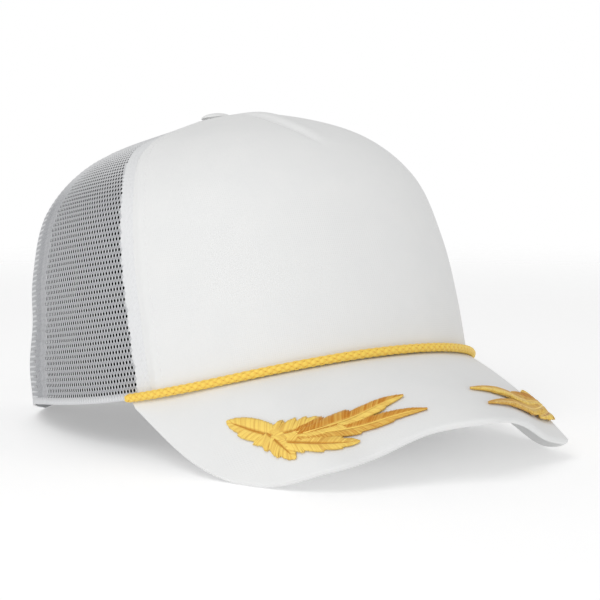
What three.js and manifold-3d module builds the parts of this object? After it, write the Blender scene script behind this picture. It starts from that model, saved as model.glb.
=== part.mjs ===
// A foam-front trucker cap with a curved peak, a twisted rope trim and two embroidered leaf sprays.
// Lengths are millimetres and angles are degrees. The pieces are worked out upright, with the crown's bottom
// edge near z = 0, and the whole cap is then tipped nose up until it rests on its peak and its back corners.
// Angles round the crown start at the front centre and grow towards the wearer's right side, which is -X.
import * as THREE from 'three';
import { mergeVertices } from 'three/addons/utils/BufferGeometryUtils.js';
import Module from 'manifold-3d';

const wasm = await Module();
wasm.setup();

// How the cap rests: its nose tips up, and it is lifted and moved back to put the origin mid-way under it
const REST_TILT = 8.2;
const REST_LIFT = 15.92;
const REST_BACK = 26.1;

// Crown sections from the bottom edge to the top: height, reach to the front and back, half the width,
// and the angle of the seam beside the front panel and of the seam between side and back net.
const CROWN_SECTIONS = [
  { rise: 0, front: 108, back: 108, half: 85, frontSeam: 63.5, sideSeam: 103 },
  { rise: 28, front: 104, back: 106, half: 84, frontSeam: 64.5, sideSeam: 103 },
  { rise: 56, front: 97, back: 101, half: 81, frontSeam: 65.5, sideSeam: 103 },
  { rise: 83, front: 87, back: 94.5, half: 72, frontSeam: 68, sideSeam: 104 },
  { rise: 102.5, front: 67, back: 74, half: 51, frontSeam: 76, sideSeam: 108 },
  { rise: 114, front: 34, back: 44, half: 17, frontSeam: 83, sideSeam: 118 },
  { rise: 118, front: -7, back: 7, half: 0, frontSeam: 87, sideSeam: 128 },
];
const CROWN_ROUNDNESS = 2.18;
const UPRIGHT_FROM_LEVEL = 0.12;
const LEVEL_STEP = 0.004;
const BACK_CENTRE = 180;
const FRONT_ARCH = 11;
const FRONT_ARCH_END = 88;
const CORNER_DROOP = 4.2;
const DROOP_START = 112;
const PANEL_TOP = 0.975;
const PANEL_ROWS = 14;

// Soft folds of the crown: where each one lies, how far it spreads and how deep it goes
const CROWN_FOLDS = [
  { name: 'waist at the back', angle: 150, rise: 36, angleSpread: 55, riseSpread: 11, depth: 1.2 },
  { name: 'swell under the waist', angle: 120, rise: 14, angleSpread: 25, riseSpread: 10, depth: -0.7 },
];

// Cloth and board
const PIECE_GAP = 0.4;
const NET_THICKNESS = 1.2;
const FOAM_THICKNESS = 3;
const TAPE_HALF_WIDTH = 6.5;
const TAPE_THICKNESS = 0.7;
const SEAM_TAPE_ROWS = { first: 0, last: 13 };
const BACK_TAPE_ROWS = { first: 6, last: 13 };
const FRONT_TAPE_STEP = { from: -1, width: 4 };
const NET_TAPE_DEPTH = NET_THICKNESS + PIECE_GAP + 0.3;
const FOAM_TAPE_DEPTH = FOAM_THICKNESS + PIECE_GAP - 0.1;
const SWEATBAND = { bottom: 1.5, top: 27, depth: 4.9, thickness: 1, end: 147 };

// Facet columns of each sheet
const COLUMNS = { front: 26, sideNet: 8, backNet: 6, arch: 7, band: 44, strap: 14 };
const TAPE_COLUMNS = { front: 4, side: 3, back: 4 };
const FRONT_CROWDING = 0.07;

// Front panel: it dips to the seam, swells beside it and has a short dart at the top centre
const ROLL = { dip: 0.8, swell: 0.9, rise: 8, settle: 25, fadeFrom: 0.82, fadeTo: 0.95 };
const DART = { from: 0.66, to: 0.98, halfWidth: 4, depth: 2.2 };
const DART_PUFF = { height: 0.9, aside: 13, spread: 10 };

// Peak: its outer edge from the front centre to the low point at the side, and then back up to the crown
const PEAK_EDGE = [
  { across: 0, forward: 161.5, below: 13.9 },
  { across: 22, forward: 152.5, below: 16.1 },
  { across: 41, forward: 144.3, below: 23 },
  { across: 57, forward: 137.3, below: 26.7 },
  { across: 69.5, forward: 113.3, below: 31.5 },
  { across: 79.3, forward: 84, below: 23.4 },
];
const PEAK = { rootAngle: 71, end: 0.972, thickness: 2.8, bulge: 2.4, lip: 4, stations: 30 };
const PEAK_STEP = 0.01;
const PEAK_REACHES = [0.12, 0.3, 0.5, 0.7, 0.88];
const RIM_TURNS = [45, 90, 135];

// Rope trim along the joint of crown and peak
const ROPE = { radius: 1.95, endAngle: 70.4, sides: 8, steps: 48, clear: 0.35, rootReach: 0.03 };

// Half-moon opening at the back and its folded binding
const OPENING = { startAngle: 150, height: 56 };
const BINDING = { width: 8, thickness: 0.7, clear: 0.75, fold: 1.05, corner: 0.35, firstSwing: 4 };

// Snap strap: two halves that overlap at the back centre
const STRAP = { bottom: 2, top: 20, thickness: 1, innerDepth: 3.3, outerDepth: 1.7, pitch: 7.5 };
const STRAP_ANCHOR = 143;
const STRAP_TIP = 195;
const STRAP_STEP = { from: 20, width: 9 };
const STRAP_TIP_WIDTH = 0.03;
const PEG = { first: 191.25, count: 5, shaft: 2.2, head: 3, root: 0.5, proud: 0.9, bevel: 0.6, sides: 10 };
const HOLE = { radius: 2.65, length: 6 };

// Button on top, with its rivet through the crown and the washer inside
const BUTTON = { radius: 6.4, height: 2, rim: 0.6, stem: 1.5, sides: 14 };
const BUTTON_TURNS = [15, 35, 55, 75, 90];
const WASHER = { radius: 5, top: 4.2, thickness: 0.8 };

// Leaves of one spray. Angle is the root angle of the peak's ruling, reach runs from the crown (0) to the
// peak's outer edge (1), and the width is the leaf's widest.
const LEAVES = [
  { name: 'outer', angle: 35.5, reach: 0.68, tipAngle: 47.5, tipReach: 0.42, width: 13, lobes: 2, bow: 0 },
  { name: 'lower', angle: 43, reach: 0.6, tipAngle: 39, tipReach: 0.83, width: 9, lobes: 2, bow: 1 },
  { name: 'upper', angle: 40, reach: 0.62, tipAngle: 26, tipReach: 0.585, width: 8, lobes: 3, bow: -1 },
  { name: 'long', angle: 37, reach: 0.68, tipAngle: 10.5, tipReach: 0.63, width: 8.5, lobes: 1, bow: 0 },
  { name: 'sharp', angle: 36, reach: 0.72, tipAngle: 9.5, tipReach: 0.78, width: 8, lobes: 1, bow: 0 },
  { name: 'short', angle: 37.5, reach: 0.74, tipAngle: 25, tipReach: 0.86, width: 8.5, lobes: 2, bow: 1 },
];
const LEAF_BODY = { stalk: 0.12, tip: 0.98, fullness: 0.8 };
const LEAF = { height: 0.9, edge: 0.5, lift: 0.45, stations: 7, lobeDepth: 0.16, tipWidth: 0.12, step: 0.02 };

const COLOURS = {
  cloth: 0xf2f2f1,
  net: 0xc9cacc,
  tape: 0xe4e5e6,
  gold: 0xf0b83c,
  plastic: 0xf4f4f2,
  band: 0x55575b,
};

const radians = THREE.MathUtils.degToRad;
const smooth = (value) => THREE.MathUtils.smoothstep(value, 0, 1);
const mix = THREE.MathUtils.lerp;

// Value of a table column at a place from 0 to 1 along its rows, on a curve through every row
function alongRows(rows, place) {
  const last = rows.length - 3;
  const spot = THREE.MathUtils.clamp(place, 0, 1) * last;
  const row = Math.min(Math.floor(spot), last - 1);
  const part = spot - row;
  const [a, b, c, d] = rows.slice(row, row + 4);
  const curve = (2 * a - 5 * b + 4 * c - d) * part ** 2 + (3 * b - a - 3 * c + d) * part ** 3;
  return 0.5 * (2 * b + (c - a) * part + curve);
}

// A column with one more row at each end: straight on below the bottom edge, and mirrored past the top.
// A reach that runs on through the top keeps its slope there, and the others turn back.
function crownColumn(name, runsThroughTop) {
  const values = CROWN_SECTIONS.map((section) => section[name]);
  const beforeTop = values[values.length - 2];
  const pastTop = runsThroughTop ? 2 * values[values.length - 1] - beforeTop : beforeTop;
  return [2 * values[0] - values[1], ...values, pastTop];
}

const crownColumns = {
  rise: crownColumn('rise', false),
  front: crownColumn('front', true),
  back: crownColumn('back', true),
  half: crownColumn('half', true),
  frontSeam: crownColumn('frontSeam', false),
  sideSeam: crownColumn('sideSeam', false),
};
const CROWN_HEIGHT = CROWN_SECTIONS[CROWN_SECTIONS.length - 1].rise;
const TOP_SHIFT = CROWN_SECTIONS[CROWN_SECTIONS.length - 1].back;

// Height of the crown's bottom edge: arched over the peak and drooping at the two back corners
function edgeRise(angle) {
  const turn = Math.abs(angle);
  const arch = FRONT_ARCH * (0.5 + 0.5 * Math.cos(Math.PI * Math.min(turn / FRONT_ARCH_END, 1)));
  return arch - CORNER_DROOP * smooth((turn - DROOP_START) / (OPENING.startAngle - DROOP_START));
}

// Point on the crown's smooth outer form, without its folds
function crownForm(angle, level) {
  const front = alongRows(crownColumns.front, level);
  const back = alongRows(crownColumns.back, level);
  const half = alongRows(crownColumns.half, level);
  const rise = alongRows(crownColumns.rise, level);
  const middle = TOP_SHIFT * level;
  const power = 2 / CROWN_ROUNDNESS;
  const side = Math.sin(radians(angle));
  const ahead = Math.cos(radians(angle));
  const reach = ahead > 0 ? -(middle + front) : back - middle;
  return new THREE.Vector3(
    -half * Math.sign(side) * Math.abs(side) ** power,
    middle + reach * Math.abs(ahead) ** power,
    rise + edgeRise(turnWithin(angle)) * (1 - rise / CROWN_HEIGHT) ** 2,
  );
}

// The same angle between -180 and 180
function turnWithin(angle) {
  return THREE.MathUtils.euclideanModulo(angle + 180, 360) - 180;
}

// Outward direction of the crown, level at the bottom edge so that the walls there stand upright
function crownNormal(angle, level) {
  const low = crownForm(angle, Math.max(level - LEVEL_STEP, 0));
  const high = crownForm(angle, Math.min(level + LEVEL_STEP, 1));
  const before = crownForm(angle - 1, level);
  const after = crownForm(angle + 1, level);
  const normal = high.sub(low).cross(after.sub(before));
  normal.z *= Math.min(1, level / UPRIGHT_FROM_LEVEL);
  return normal.normalize();
}

function foldDepth(angle, rise) {
  let depth = 0;
  for (const fold of CROWN_FOLDS) {
    const aside = (Math.abs(turnWithin(angle)) - fold.angle) / fold.angleSpread;
    const above = (rise - fold.rise) / fold.riseSpread;
    depth += fold.depth * Math.exp(-(aside ** 2) - above ** 2);
  }
  return depth;
}

// Point at a depth under the crown's outer form
function crownPoint(angle, level, depth = 0) {
  const point = crownForm(angle, level);
  const inward = depth + foldDepth(angle, point.z);
  return point.addScaledVector(crownNormal(angle, level), -inward);
}

// The lowest that a cloth edge may reach before the surface under the cap flattens it
function floorAt(y) {
  return y * Math.tan(radians(REST_TILT)) - REST_LIFT / Math.cos(radians(REST_TILT));
}

function onFloor(point) {
  point.z = Math.max(point.z, floorAt(point.y));
  return point;
}

// Level from 0 to 1 at which the crown reaches a height above its bottom edge
function levelAt(rise) {
  const halvings = 30;
  let low = 0;
  let high = 1;
  for (let halving = 0; halving < halvings; halving += 1) {
    const middle = (low + high) / 2;
    if (alongRows(crownColumns.rise, middle) < rise) low = middle;
    else high = middle;
  }
  return (low + high) / 2;
}

// Millimetres along the crown for one degree
function arcPerDegree(angle, level) {
  return crownForm(angle - 1, level).distanceTo(crownForm(angle + 1, level)) / 2;
}

function meshGeometry(points, index) {
  const geometry = new THREE.BufferGeometry().setFromPoints(points);
  geometry.setIndex(index);
  return geometry;
}

// Closed sheet: an outer and an inner face over a grid of u and v from 0 to 1, with walls along the edges
function sheet(columns, rows, outer, inner) {
  const points = [];
  for (const face of [outer, inner]) {
    for (let i = 0; i <= columns; i += 1) {
      for (let j = 0; j <= rows; j += 1) points.push(face(i / columns, j / rows));
    }
  }
  const at = (side, i, j) => (side * (columns + 1) + i) * (rows + 1) + j;
  const index = [];
  const quad = (a, b, c, d) => index.push(a, b, c, a, c, d);
  for (let i = 0; i < columns; i += 1) {
    for (let j = 0; j < rows; j += 1) {
      quad(at(0, i, j), at(0, i, j + 1), at(0, i + 1, j + 1), at(0, i + 1, j));
      quad(at(1, i, j), at(1, i + 1, j), at(1, i + 1, j + 1), at(1, i, j + 1));
    }
    quad(at(0, i, 0), at(0, i + 1, 0), at(1, i + 1, 0), at(1, i, 0));
    quad(at(0, i + 1, rows), at(0, i, rows), at(1, i, rows), at(1, i + 1, rows));
  }
  for (let j = 0; j < rows; j += 1) {
    quad(at(0, 0, j + 1), at(0, 0, j), at(1, 0, j), at(1, 0, j + 1));
    quad(at(0, columns, j), at(0, columns, j + 1), at(1, columns, j + 1), at(1, columns, j));
  }
  return facingOut(meshGeometry(points, index));
}

// Round body turned about Z from pairs of radius and height
function turned(profile, sides) {
  const points = profile.map(([radius, height]) => new THREE.Vector2(radius, height));
  return new THREE.LatheGeometry(points, sides).rotateX(Math.PI / 2);
}

// Closed sweep of sections that all have the same number of points, with flat ends
function sweep(sections) {
  const count = sections[0].length;
  const points = sections.flat();
  const index = [];
  for (let i = 0; i < sections.length - 1; i += 1) {
    for (let j = 0; j < count; j += 1) {
      const next = (j + 1) % count;
      const a = i * count;
      index.push(a + j, a + next, a + count + next, a + j, a + count + next, a + count + j);
    }
  }
  const lastRow = sections.length - 1;
  for (const [a, b, c] of endTriangles(sections[0])) index.push(a, c, b);
  for (const corners of endTriangles(sections[lastRow])) {
    index.push(...corners.map((k) => lastRow * count + k));
  }
  return facingOut(meshGeometry(points, index));
}

// Triangles of a nearly flat section, in the order of its points
function endTriangles(section) {
  const normal = new THREE.Vector3();
  section.forEach((point, i) => normal.add(point.clone().cross(section[(i + 1) % section.length])));
  normal.normalize();
  const across = section[1].clone().sub(section[0]).projectOnPlane(normal).normalize();
  const up = normal.clone().cross(across);
  const flat = section.map((point) => new THREE.Vector2(point.dot(across), point.dot(up)));
  return THREE.ShapeUtils.triangulateShape(flat, []);
}

// Turns a closed body inside out where its volume comes out negative
function facingOut(geometry) {
  const place = geometry.getAttribute('position');
  const index = Array.from(geometry.getIndex().array);
  const corner = (k) => new THREE.Vector3().fromBufferAttribute(place, index[k]);
  let volume = 0;
  for (let k = 0; k < index.length; k += 3) volume += corner(k).dot(corner(k + 1).cross(corner(k + 2)));
  if (volume < 0) index.reverse();
  geometry.setIndex(index);
  return geometry;
}

function toSolid(geometry) {
  const bare = geometry.clone();
  bare.deleteAttribute('normal');
  bare.deleteAttribute('uv');
  const merged = mergeVertices(bare, 1e-4);
  const vertProperties = new Float32Array(merged.getAttribute('position').array);
  const triVerts = new Uint32Array(merged.getIndex().array);
  return new wasm.Manifold(new wasm.Mesh({ numProp: 3, vertProperties, triVerts }));
}

function toGeometry(solid) {
  const { vertProperties, triVerts } = solid.getMesh();
  const geometry = new THREE.BufferGeometry();
  geometry.setAttribute('position', new THREE.BufferAttribute(vertProperties, 3));
  geometry.setIndex(new THREE.BufferAttribute(triVerts, 1));
  return geometry;
}

const cap = new THREE.Group();

function addPiece(name, geometry, colour, roughness) {
  geometry.computeVertexNormals();
  const material = new THREE.MeshStandardMaterial({ color: colour, roughness, metalness: 0 });
  const mesh = new THREE.Mesh(geometry, material);
  mesh.name = name;
  cap.add(mesh);
}

// Mirrored copy of a geometry, for the wearer's left
function mirrored(geometry) {
  return facingOut(geometry.clone().scale(-1, 1, 1));
}

function addPair(name, geometry, colour, roughness) {
  addPiece(`${name}_right`, geometry, colour, roughness);
  addPiece(`${name}_left`, mirrored(geometry), colour, roughness);
}

// Height of the front panel's face over the crown's form
function foamRaise(angle, level) {
  const seam = alongRows(crownColumns.frontSeam, level);
  const fromSeam = (seam - Math.abs(angle)) * arcPerDegree(seam, level);
  const fade = 1 - smooth((level - ROLL.fadeFrom) / (ROLL.fadeTo - ROLL.fadeFrom));
  const settled = smooth((fromSeam - ROLL.rise) / ROLL.settle);
  const roll = ROLL.swell * fade * (smooth(fromSeam / ROLL.rise) - settled);
  const dip = ROLL.dip * (1 - smooth(fromSeam / ROLL.rise));
  const fromCentre = Math.abs(angle) * arcPerDegree(0, level);
  const along = THREE.MathUtils.clamp((level - DART.from) / (DART.to - DART.from), 0, 1);
  const crease = DART.depth * Math.exp(-((fromCentre / DART.halfWidth) ** 2));
  const puff = DART_PUFF.height * Math.exp(-(((fromCentre - DART_PUFF.aside) / DART_PUFF.spread) ** 2));
  return roll - dip + (puff - crease) * Math.sin(Math.PI * along) ** 0.7;
}

function foamDepth(angle, level) {
  const seam = alongRows(crownColumns.frontSeam, level);
  const fromSeam = (seam - Math.abs(angle)) * arcPerDegree(seam, level);
  return mix(FOAM_THICKNESS - ROLL.dip, FOAM_THICKNESS, smooth(fromSeam / ROLL.rise));
}

// Columns of facets stand closer together at the centre, where the dart is, and at the seams
function frontPanel() {
  const place = (u) => {
    const side = 2 * u - 1;
    return side - FRONT_CROWDING * Math.sin(2 * Math.PI * side);
  };
  const angleAt = (u, level) => {
    const seam = alongRows(crownColumns.frontSeam, level);
    return place(u) * (seam - PIECE_GAP / 2 / arcPerDegree(seam, level));
  };
  const face = (depthAt) => (u, v) => {
    const level = v * PANEL_TOP;
    const angle = angleAt(u, level);
    return crownPoint(angle, level, depthAt(angle, level));
  };
  const outer = face((angle, level) => -foamRaise(angle, level));
  return sheet(COLUMNS.front, PANEL_ROWS, outer, face(foamDepth));
}

// Net panel between two seams. The lower edge is the crown's own, or the arch of the opening.
function netPanel(columns, angleAt, lowest) {
  const face = (depth) => (u, v) => {
    const level = mix(lowest(u), PANEL_TOP, v);
    return onFloor(crownPoint(angleAt(u, level), level, depth));
  };
  return sheet(columns, PANEL_ROWS, face(0), face(NET_THICKNESS));
}

function sideNet() {
  const angleAt = (u, level) => {
    const front = alongRows(crownColumns.frontSeam, level);
    const back = alongRows(crownColumns.sideSeam, level);
    const gap = PIECE_GAP / 2 / arcPerDegree(back, level);
    return mix(front + gap, back - gap, u);
  };
  return netPanel(COLUMNS.sideNet, angleAt, () => 0);
}

function archLevel(angle) {
  const aside = (BACK_CENTRE - angle) / (BACK_CENTRE - OPENING.startAngle);
  return aside >= 1 ? 0 : levelAt(OPENING.height * Math.sqrt(1 - aside ** 2));
}

// The first columns run from the side seam to the opening's corner, and the rest follow its arch
function backNet() {
  const columns = COLUMNS.backNet + COLUMNS.arch;
  const seamAtEdge = CROWN_SECTIONS[0].sideSeam;
  const edgeAngle = (u) => {
    const column = u * columns;
    if (column <= COLUMNS.backNet) return mix(seamAtEdge, OPENING.startAngle, column / COLUMNS.backNet);
    const swing = (column - COLUMNS.backNet) / COLUMNS.arch * Math.PI / 2;
    return BACK_CENTRE - (BACK_CENTRE - OPENING.startAngle) * Math.cos(swing);
  };
  const angleAt = (u, level) => {
    const share = (edgeAngle(u) - seamAtEdge) / (BACK_CENTRE - seamAtEdge);
    const seam = alongRows(crownColumns.sideSeam, level);
    const gap = PIECE_GAP / 2 / arcPerDegree(seam, level);
    return mix(seam + gap, BACK_CENTRE - gap, share);
  };
  return netPanel(columns, angleAt, (u) => archLevel(edgeAngle(u)));
}

// Tape inside a seam, between two rows of the panels. Its face keeps clear of the panels on both sides.
function seamTape(seamAt, rows, columns, depthAt) {
  const face = (extra) => (u, v) => {
    const level = mix(rows.first, rows.last, v) / PANEL_ROWS * PANEL_TOP;
    const aside = mix(-TAPE_HALF_WIDTH, TAPE_HALF_WIDTH, u);
    const seam = seamAt(level);
    return crownPoint(seam + aside / arcPerDegree(seam, level), level, depthAt(aside) + extra);
  };
  return sheet(columns, rows.last - rows.first, face(0), face(TAPE_THICKNESS));
}

// The front tape steps down under the thicker foam
function frontTapeDepth(aside) {
  const step = smooth((aside - FRONT_TAPE_STEP.from) / FRONT_TAPE_STEP.width);
  return mix(FOAM_TAPE_DEPTH, NET_TAPE_DEPTH, step);
}

function sweatband() {
  const face = (depth) => (u, v) => {
    const angle = mix(-SWEATBAND.end, SWEATBAND.end, u);
    const level = levelAt(mix(SWEATBAND.bottom, SWEATBAND.top, v));
    return crownPoint(angle, level, depth);
  };
  return sheet(COLUMNS.band, 2, face(SWEATBAND.depth), face(SWEATBAND.depth + SWEATBAND.thickness));
}

const edgeColumns = ['across', 'forward', 'below'].map((name) => {
  const corner = crownForm(PEAK.rootAngle, 0);
  const end = { across: -corner.x, forward: -corner.y, below: -corner.z };
  const values = [...PEAK_EDGE, end].map((row) => row[name]);
  const before = name === 'across' ? -values[1] : values[1];
  const last = values.length - 1;
  return [before, ...values, 2 * values[last] - values[last - 1]];
});

function peakEdge(place) {
  const [across, forward, below] = edgeColumns.map((column) => alongRows(column, Math.abs(place)));
  return new THREE.Vector3(-Math.sign(place) * across, -forward, -below);
}

function peakRoot(place, depth = 0) {
  const point = crownPoint(PEAK.rootAngle * place, 0, depth);
  point.z -= PIECE_GAP;
  return point;
}

// Point on the peak's upper face: place runs from side to side (-1 to 1), reach from crown to edge (0 to 1)
function peakTop(place, reach) {
  const lean = radians(PEAK.rootAngle * place);
  const swell = 4 * PEAK.bulge * reach * (1 - reach) * Math.sin(Math.PI * Math.abs(place) ** 0.8) ** 0.7;
  const point = peakRoot(place).lerp(peakEdge(place), reach);
  return point.add(new THREE.Vector3(-Math.sin(lean) * swell, 0, Math.cos(lean) * swell));
}

function peakFrame(place, reach) {
  const across = peakTop(place + PEAK_STEP, reach).sub(peakTop(place - PEAK_STEP, reach)).normalize();
  const out = peakTop(place, reach + PEAK_STEP).sub(peakTop(place, reach - PEAK_STEP)).normalize();
  const up = across.clone().cross(out).normalize();
  if (up.z < 0) up.negate();
  return { across, out, up };
}

// Across the peak at one place: lip under the crown, upper face, round rim and lower face
function peakSection(place) {
  const length = peakRoot(place).distanceTo(peakEdge(place));
  const rim = PEAK.thickness / 2;
  const lastReach = 1 - rim / length;
  const reaches = [0, ...PEAK_REACHES.map((reach) => reach * lastReach), lastReach];
  const upper = reaches.map((reach) => peakTop(place, reach));
  const lower = reaches.map((reach, i) => {
    return upper[i].clone().addScaledVector(peakFrame(place, Math.max(reach, PEAK_STEP)).up, -PEAK.thickness);
  });
  const { out, up } = peakFrame(place, lastReach);
  const centre = upper[upper.length - 1].clone().addScaledVector(up, -rim);
  const round = RIM_TURNS.map((turn) => {
    const spot = centre.clone().addScaledVector(up, rim * Math.cos(radians(turn)));
    return spot.addScaledVector(out, rim * Math.sin(radians(turn)));
  });
  const lip = peakRoot(place, PEAK.lip);
  const lipUnder = lip.clone();
  lipUnder.z -= PEAK.thickness - PIECE_GAP;
  return [lip, ...upper, ...round, ...lower.reverse(), lipUnder];
}

function peak() {
  const sections = [];
  for (let i = 0; i <= PEAK.stations; i += 1) {
    sections.push(peakSection(mix(-PEAK.end, PEAK.end, i / PEAK.stations)));
  }
  return sweep(sections);
}

// Centre of a round cord that touches neither the crown's wall nor the peak in the corner between them
function ropeCentre(angle) {
  const place = THREE.MathUtils.clamp(angle / PEAK.rootAngle, -PEAK.end, PEAK.end);
  const wall = crownNormal(angle, 0);
  const { up } = peakFrame(place, ROPE.rootReach);
  const raise = Math.max(foamRaise(angle, 0), 0);
  const clear = ROPE.radius + ROPE.clear;
  const shift = wall.clone().add(up).multiplyScalar(clear / (1 + wall.dot(up)));
  return crownPoint(angle, 0, -raise).add(shift);
}

function rope() {
  const spans = ROPE.steps / 2;
  const centres = [];
  for (let i = 0; i <= spans; i += 1) centres.push(ropeCentre(mix(-ROPE.endAngle, ROPE.endAngle, i / spans)));
  const section = new THREE.Shape();
  for (let i = 0; i < ROPE.sides; i += 1) {
    const turn = 2 * Math.PI * (i + 0.5) / ROPE.sides;
    const move = i === 0 ? 'moveTo' : 'lineTo';
    section[move](ROPE.radius * Math.cos(turn), ROPE.radius * Math.sin(turn));
  }
  const extrudePath = new THREE.CatmullRomCurve3(centres);
  return new THREE.ExtrudeGeometry(section, { steps: ROPE.steps, bevelEnabled: false, extrudePath });
}

// Folded binding: a U section, open towards the net, carried round the opening's arch
function binding() {
  const { width, thickness, clear, fold, corner } = BINDING;
  const outside = clear + thickness;
  const inside = -NET_THICKNESS - clear;
  const profile = [
    [width, outside],
    [corner - fold, outside],
    [-fold, outside - corner],
    [-fold, inside - thickness + corner],
    [corner - fold, inside - thickness],
    [width, inside - thickness],
    [width, inside],
    [-PIECE_GAP, inside],
    [-PIECE_GAP, clear],
    [width, clear],
  ];
  const archHalf = BACK_CENTRE - OPENING.startAngle;
  const sections = [];
  for (let i = 0; i <= 2 * COLUMNS.arch; i += 1) {
    const turn = THREE.MathUtils.clamp(90 * i / COLUMNS.arch, BINDING.firstSwing, 180 - BINDING.firstSwing);
    const swing = radians(turn);
    sections.push(profile.map(([intoNet, out]) => {
      const half = archHalf + intoNet / arcPerDegree(OPENING.startAngle, 0);
      const level = levelAt((OPENING.height + intoNet) * Math.sin(swing));
      return crownPoint(BACK_CENTRE - half * Math.cos(swing), level, -out);
    }));
  }
  return sweep(sections);
}

// Depth of the outer strap: it leaves its anchor inside the crown and steps out over the other half
function outerStrapDepth(angle) {
  const fromBack = Math.abs(turnWithin(angle - BACK_CENTRE));
  return mix(STRAP.outerDepth, STRAP.innerDepth, smooth((fromBack - STRAP_STEP.from) / STRAP_STEP.width));
}

// Point of the strap at a height, at a depth under the crown's form
function strapPoint(angle, height, depth) {
  return crownPoint(angle, levelAt(height - edgeRise(turnWithin(angle))), depth);
}

// Band of the strap from its anchor to its rounded tip
function strapBand(depthAt) {
  const middle = (STRAP.bottom + STRAP.top) / 2;
  const half = (STRAP.top - STRAP.bottom) / 2;
  const face = (extra) => (u, v) => {
    const angle = mix(STRAP_ANCHOR, STRAP_TIP, u);
    const toTip = (STRAP_TIP - angle) * arcPerDegree(BACK_CENTRE, 0);
    const round = Math.sqrt(1 - (1 - THREE.MathUtils.clamp(toTip / half, STRAP_TIP_WIDTH, 1)) ** 2);
    return strapPoint(angle, middle + (2 * v - 1) * half * round, depthAt(angle) + extra);
  };
  return sheet(COLUMNS.strap, 1, face(0), face(STRAP.thickness));
}

// Moves a shape that stands on z = 0 to a spot on the strap, facing outward
function placeOnStrap(geometry, angle, depth) {
  const outward = crownNormal(angle, 0);
  const turn = new THREE.Quaternion().setFromUnitVectors(new THREE.Vector3(0, 0, 1), outward);
  const spot = strapPoint(angle, (STRAP.bottom + STRAP.top) / 2, depth);
  return geometry.clone().applyQuaternion(turn).translate(spot.x, spot.y, spot.z);
}

function pegAngles() {
  return Array.from({ length: PEG.count }, (_, i) => PEG.first - i * STRAP.pitch);
}

// Inner half, with a row of pegs that stand out through the holes of the other half
function pegStrap() {
  const neck = STRAP.innerDepth - STRAP.outerDepth + PIECE_GAP;
  const profile = [
    [0, -PEG.root],
    [PEG.shaft, -PEG.root],
    [PEG.shaft, neck],
    [PEG.head, neck],
    [PEG.head, neck + PEG.proud / 2],
    [PEG.head - PEG.bevel, neck + PEG.proud],
    [0, neck + PEG.proud],
  ];
  const peg = turned(profile, PEG.sides);
  let body = toSolid(strapBand(() => STRAP.innerDepth));
  for (const angle of pegAngles()) {
    body = body.add(toSolid(facingOut(placeOnStrap(peg, angle, STRAP.innerDepth))));
  }
  return toGeometry(body);
}

// Outer half, pierced by a row of holes. It is worked out on the wearer's right and then mirrored.
function holeStrap() {
  const { radius, length } = HOLE;
  const drill = new THREE.CylinderGeometry(radius, radius, length, PEG.sides).rotateX(Math.PI / 2);
  let body = toSolid(strapBand(outerStrapDepth));
  for (const angle of pegAngles()) {
    body = body.subtract(toSolid(placeOnStrap(drill, angle, outerStrapDepth(angle) + STRAP.thickness / 2)));
  }
  return mirrored(toGeometry(body));
}

function button() {
  const { radius, height, rim, stem, sides } = BUTTON;
  const washerUnder = WASHER.top + WASHER.thickness;
  const profile = [
    [0, -washerUnder],
    [WASHER.radius, -washerUnder],
    [WASHER.radius, -WASHER.top],
    [stem, -WASHER.top],
    [stem, 0],
    [radius - rim, 0],
  ];
  for (const turn of BUTTON_TURNS.map(radians)) {
    profile.push([radius * Math.cos(turn), height * Math.sin(turn)]);
  }
  const body = toGeometry(toSolid(facingOut(turned(profile, sides))));
  return body.translate(0, TOP_SHIFT, CROWN_HEIGHT + PIECE_GAP);
}

// Place and reach on the peak that lie a few millimetres aside of a leaf's middle line
function besideLine(place, reach, aside) {
  const step = PEAK_STEP;
  const perPlace = peakTop(place + step, reach).sub(peakTop(place - step, reach)).divideScalar(2 * step);
  const perReach = peakTop(place, reach + step).sub(peakTop(place, reach - step)).divideScalar(2 * step);
  const a = perPlace.dot(perPlace);
  const b = perPlace.dot(perReach);
  const c = perReach.dot(perReach);
  const d = aside.dot(perPlace);
  const e = aside.dot(perReach);
  const size = a * c - b * b;
  return [place + (d * c - e * b) / size, reach + (e * a - d * b) / size];
}

// Half the width of a leaf along its length, from its stalk (0) to its tip (1)
function leafHalfWidth(leaf, along) {
  const body = Math.sin(Math.PI * mix(LEAF_BODY.stalk, LEAF_BODY.tip, along)) ** LEAF_BODY.fullness;
  const lobes = 1 + LEAF.lobeDepth * Math.cos(2 * Math.PI * leaf.lobes * along);
  return leaf.width / 2 * Math.max(body * lobes, LEAF.tipWidth);
}

// One leaf, as a low dome that follows the peak's upper face
function leafSolid(leaf) {
  const line = (along) => [
    mix(leaf.angle, leaf.tipAngle, along) / PEAK.rootAngle,
    mix(leaf.reach, leaf.tipReach, along),
  ];
  const spot = (u, v) => {
    const [place, reach] = line(v);
    const [nextPlace, nextReach] = line(v + LEAF.step);
    const forward = peakTop(nextPlace, nextReach).sub(peakTop(place, reach)).normalize();
    const side = peakFrame(place, reach).up.cross(forward).normalize();
    const bow = leaf.bow * Math.sin(Math.PI * v);
    return besideLine(place, reach, side.multiplyScalar((2 * u - 1) * leafHalfWidth(leaf, v) + bow));
  };
  const face = (heightAt) => (u, v) => {
    const [place, reach] = spot(u, v);
    return peakTop(place, reach).addScaledVector(peakFrame(place, reach).up, LEAF.lift + heightAt(u));
  };
  const domed = (u) => mix(LEAF.edge, LEAF.height, 1 - Math.abs(2 * u - 1));
  return toSolid(sheet(2, LEAF.stations, face(domed), face(() => 0)));
}

function leafSpray() {
  let body = leafSolid(LEAVES[0]);
  for (const leaf of LEAVES.slice(1)) body = body.add(leafSolid(leaf));
  return toGeometry(body);
}

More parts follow.
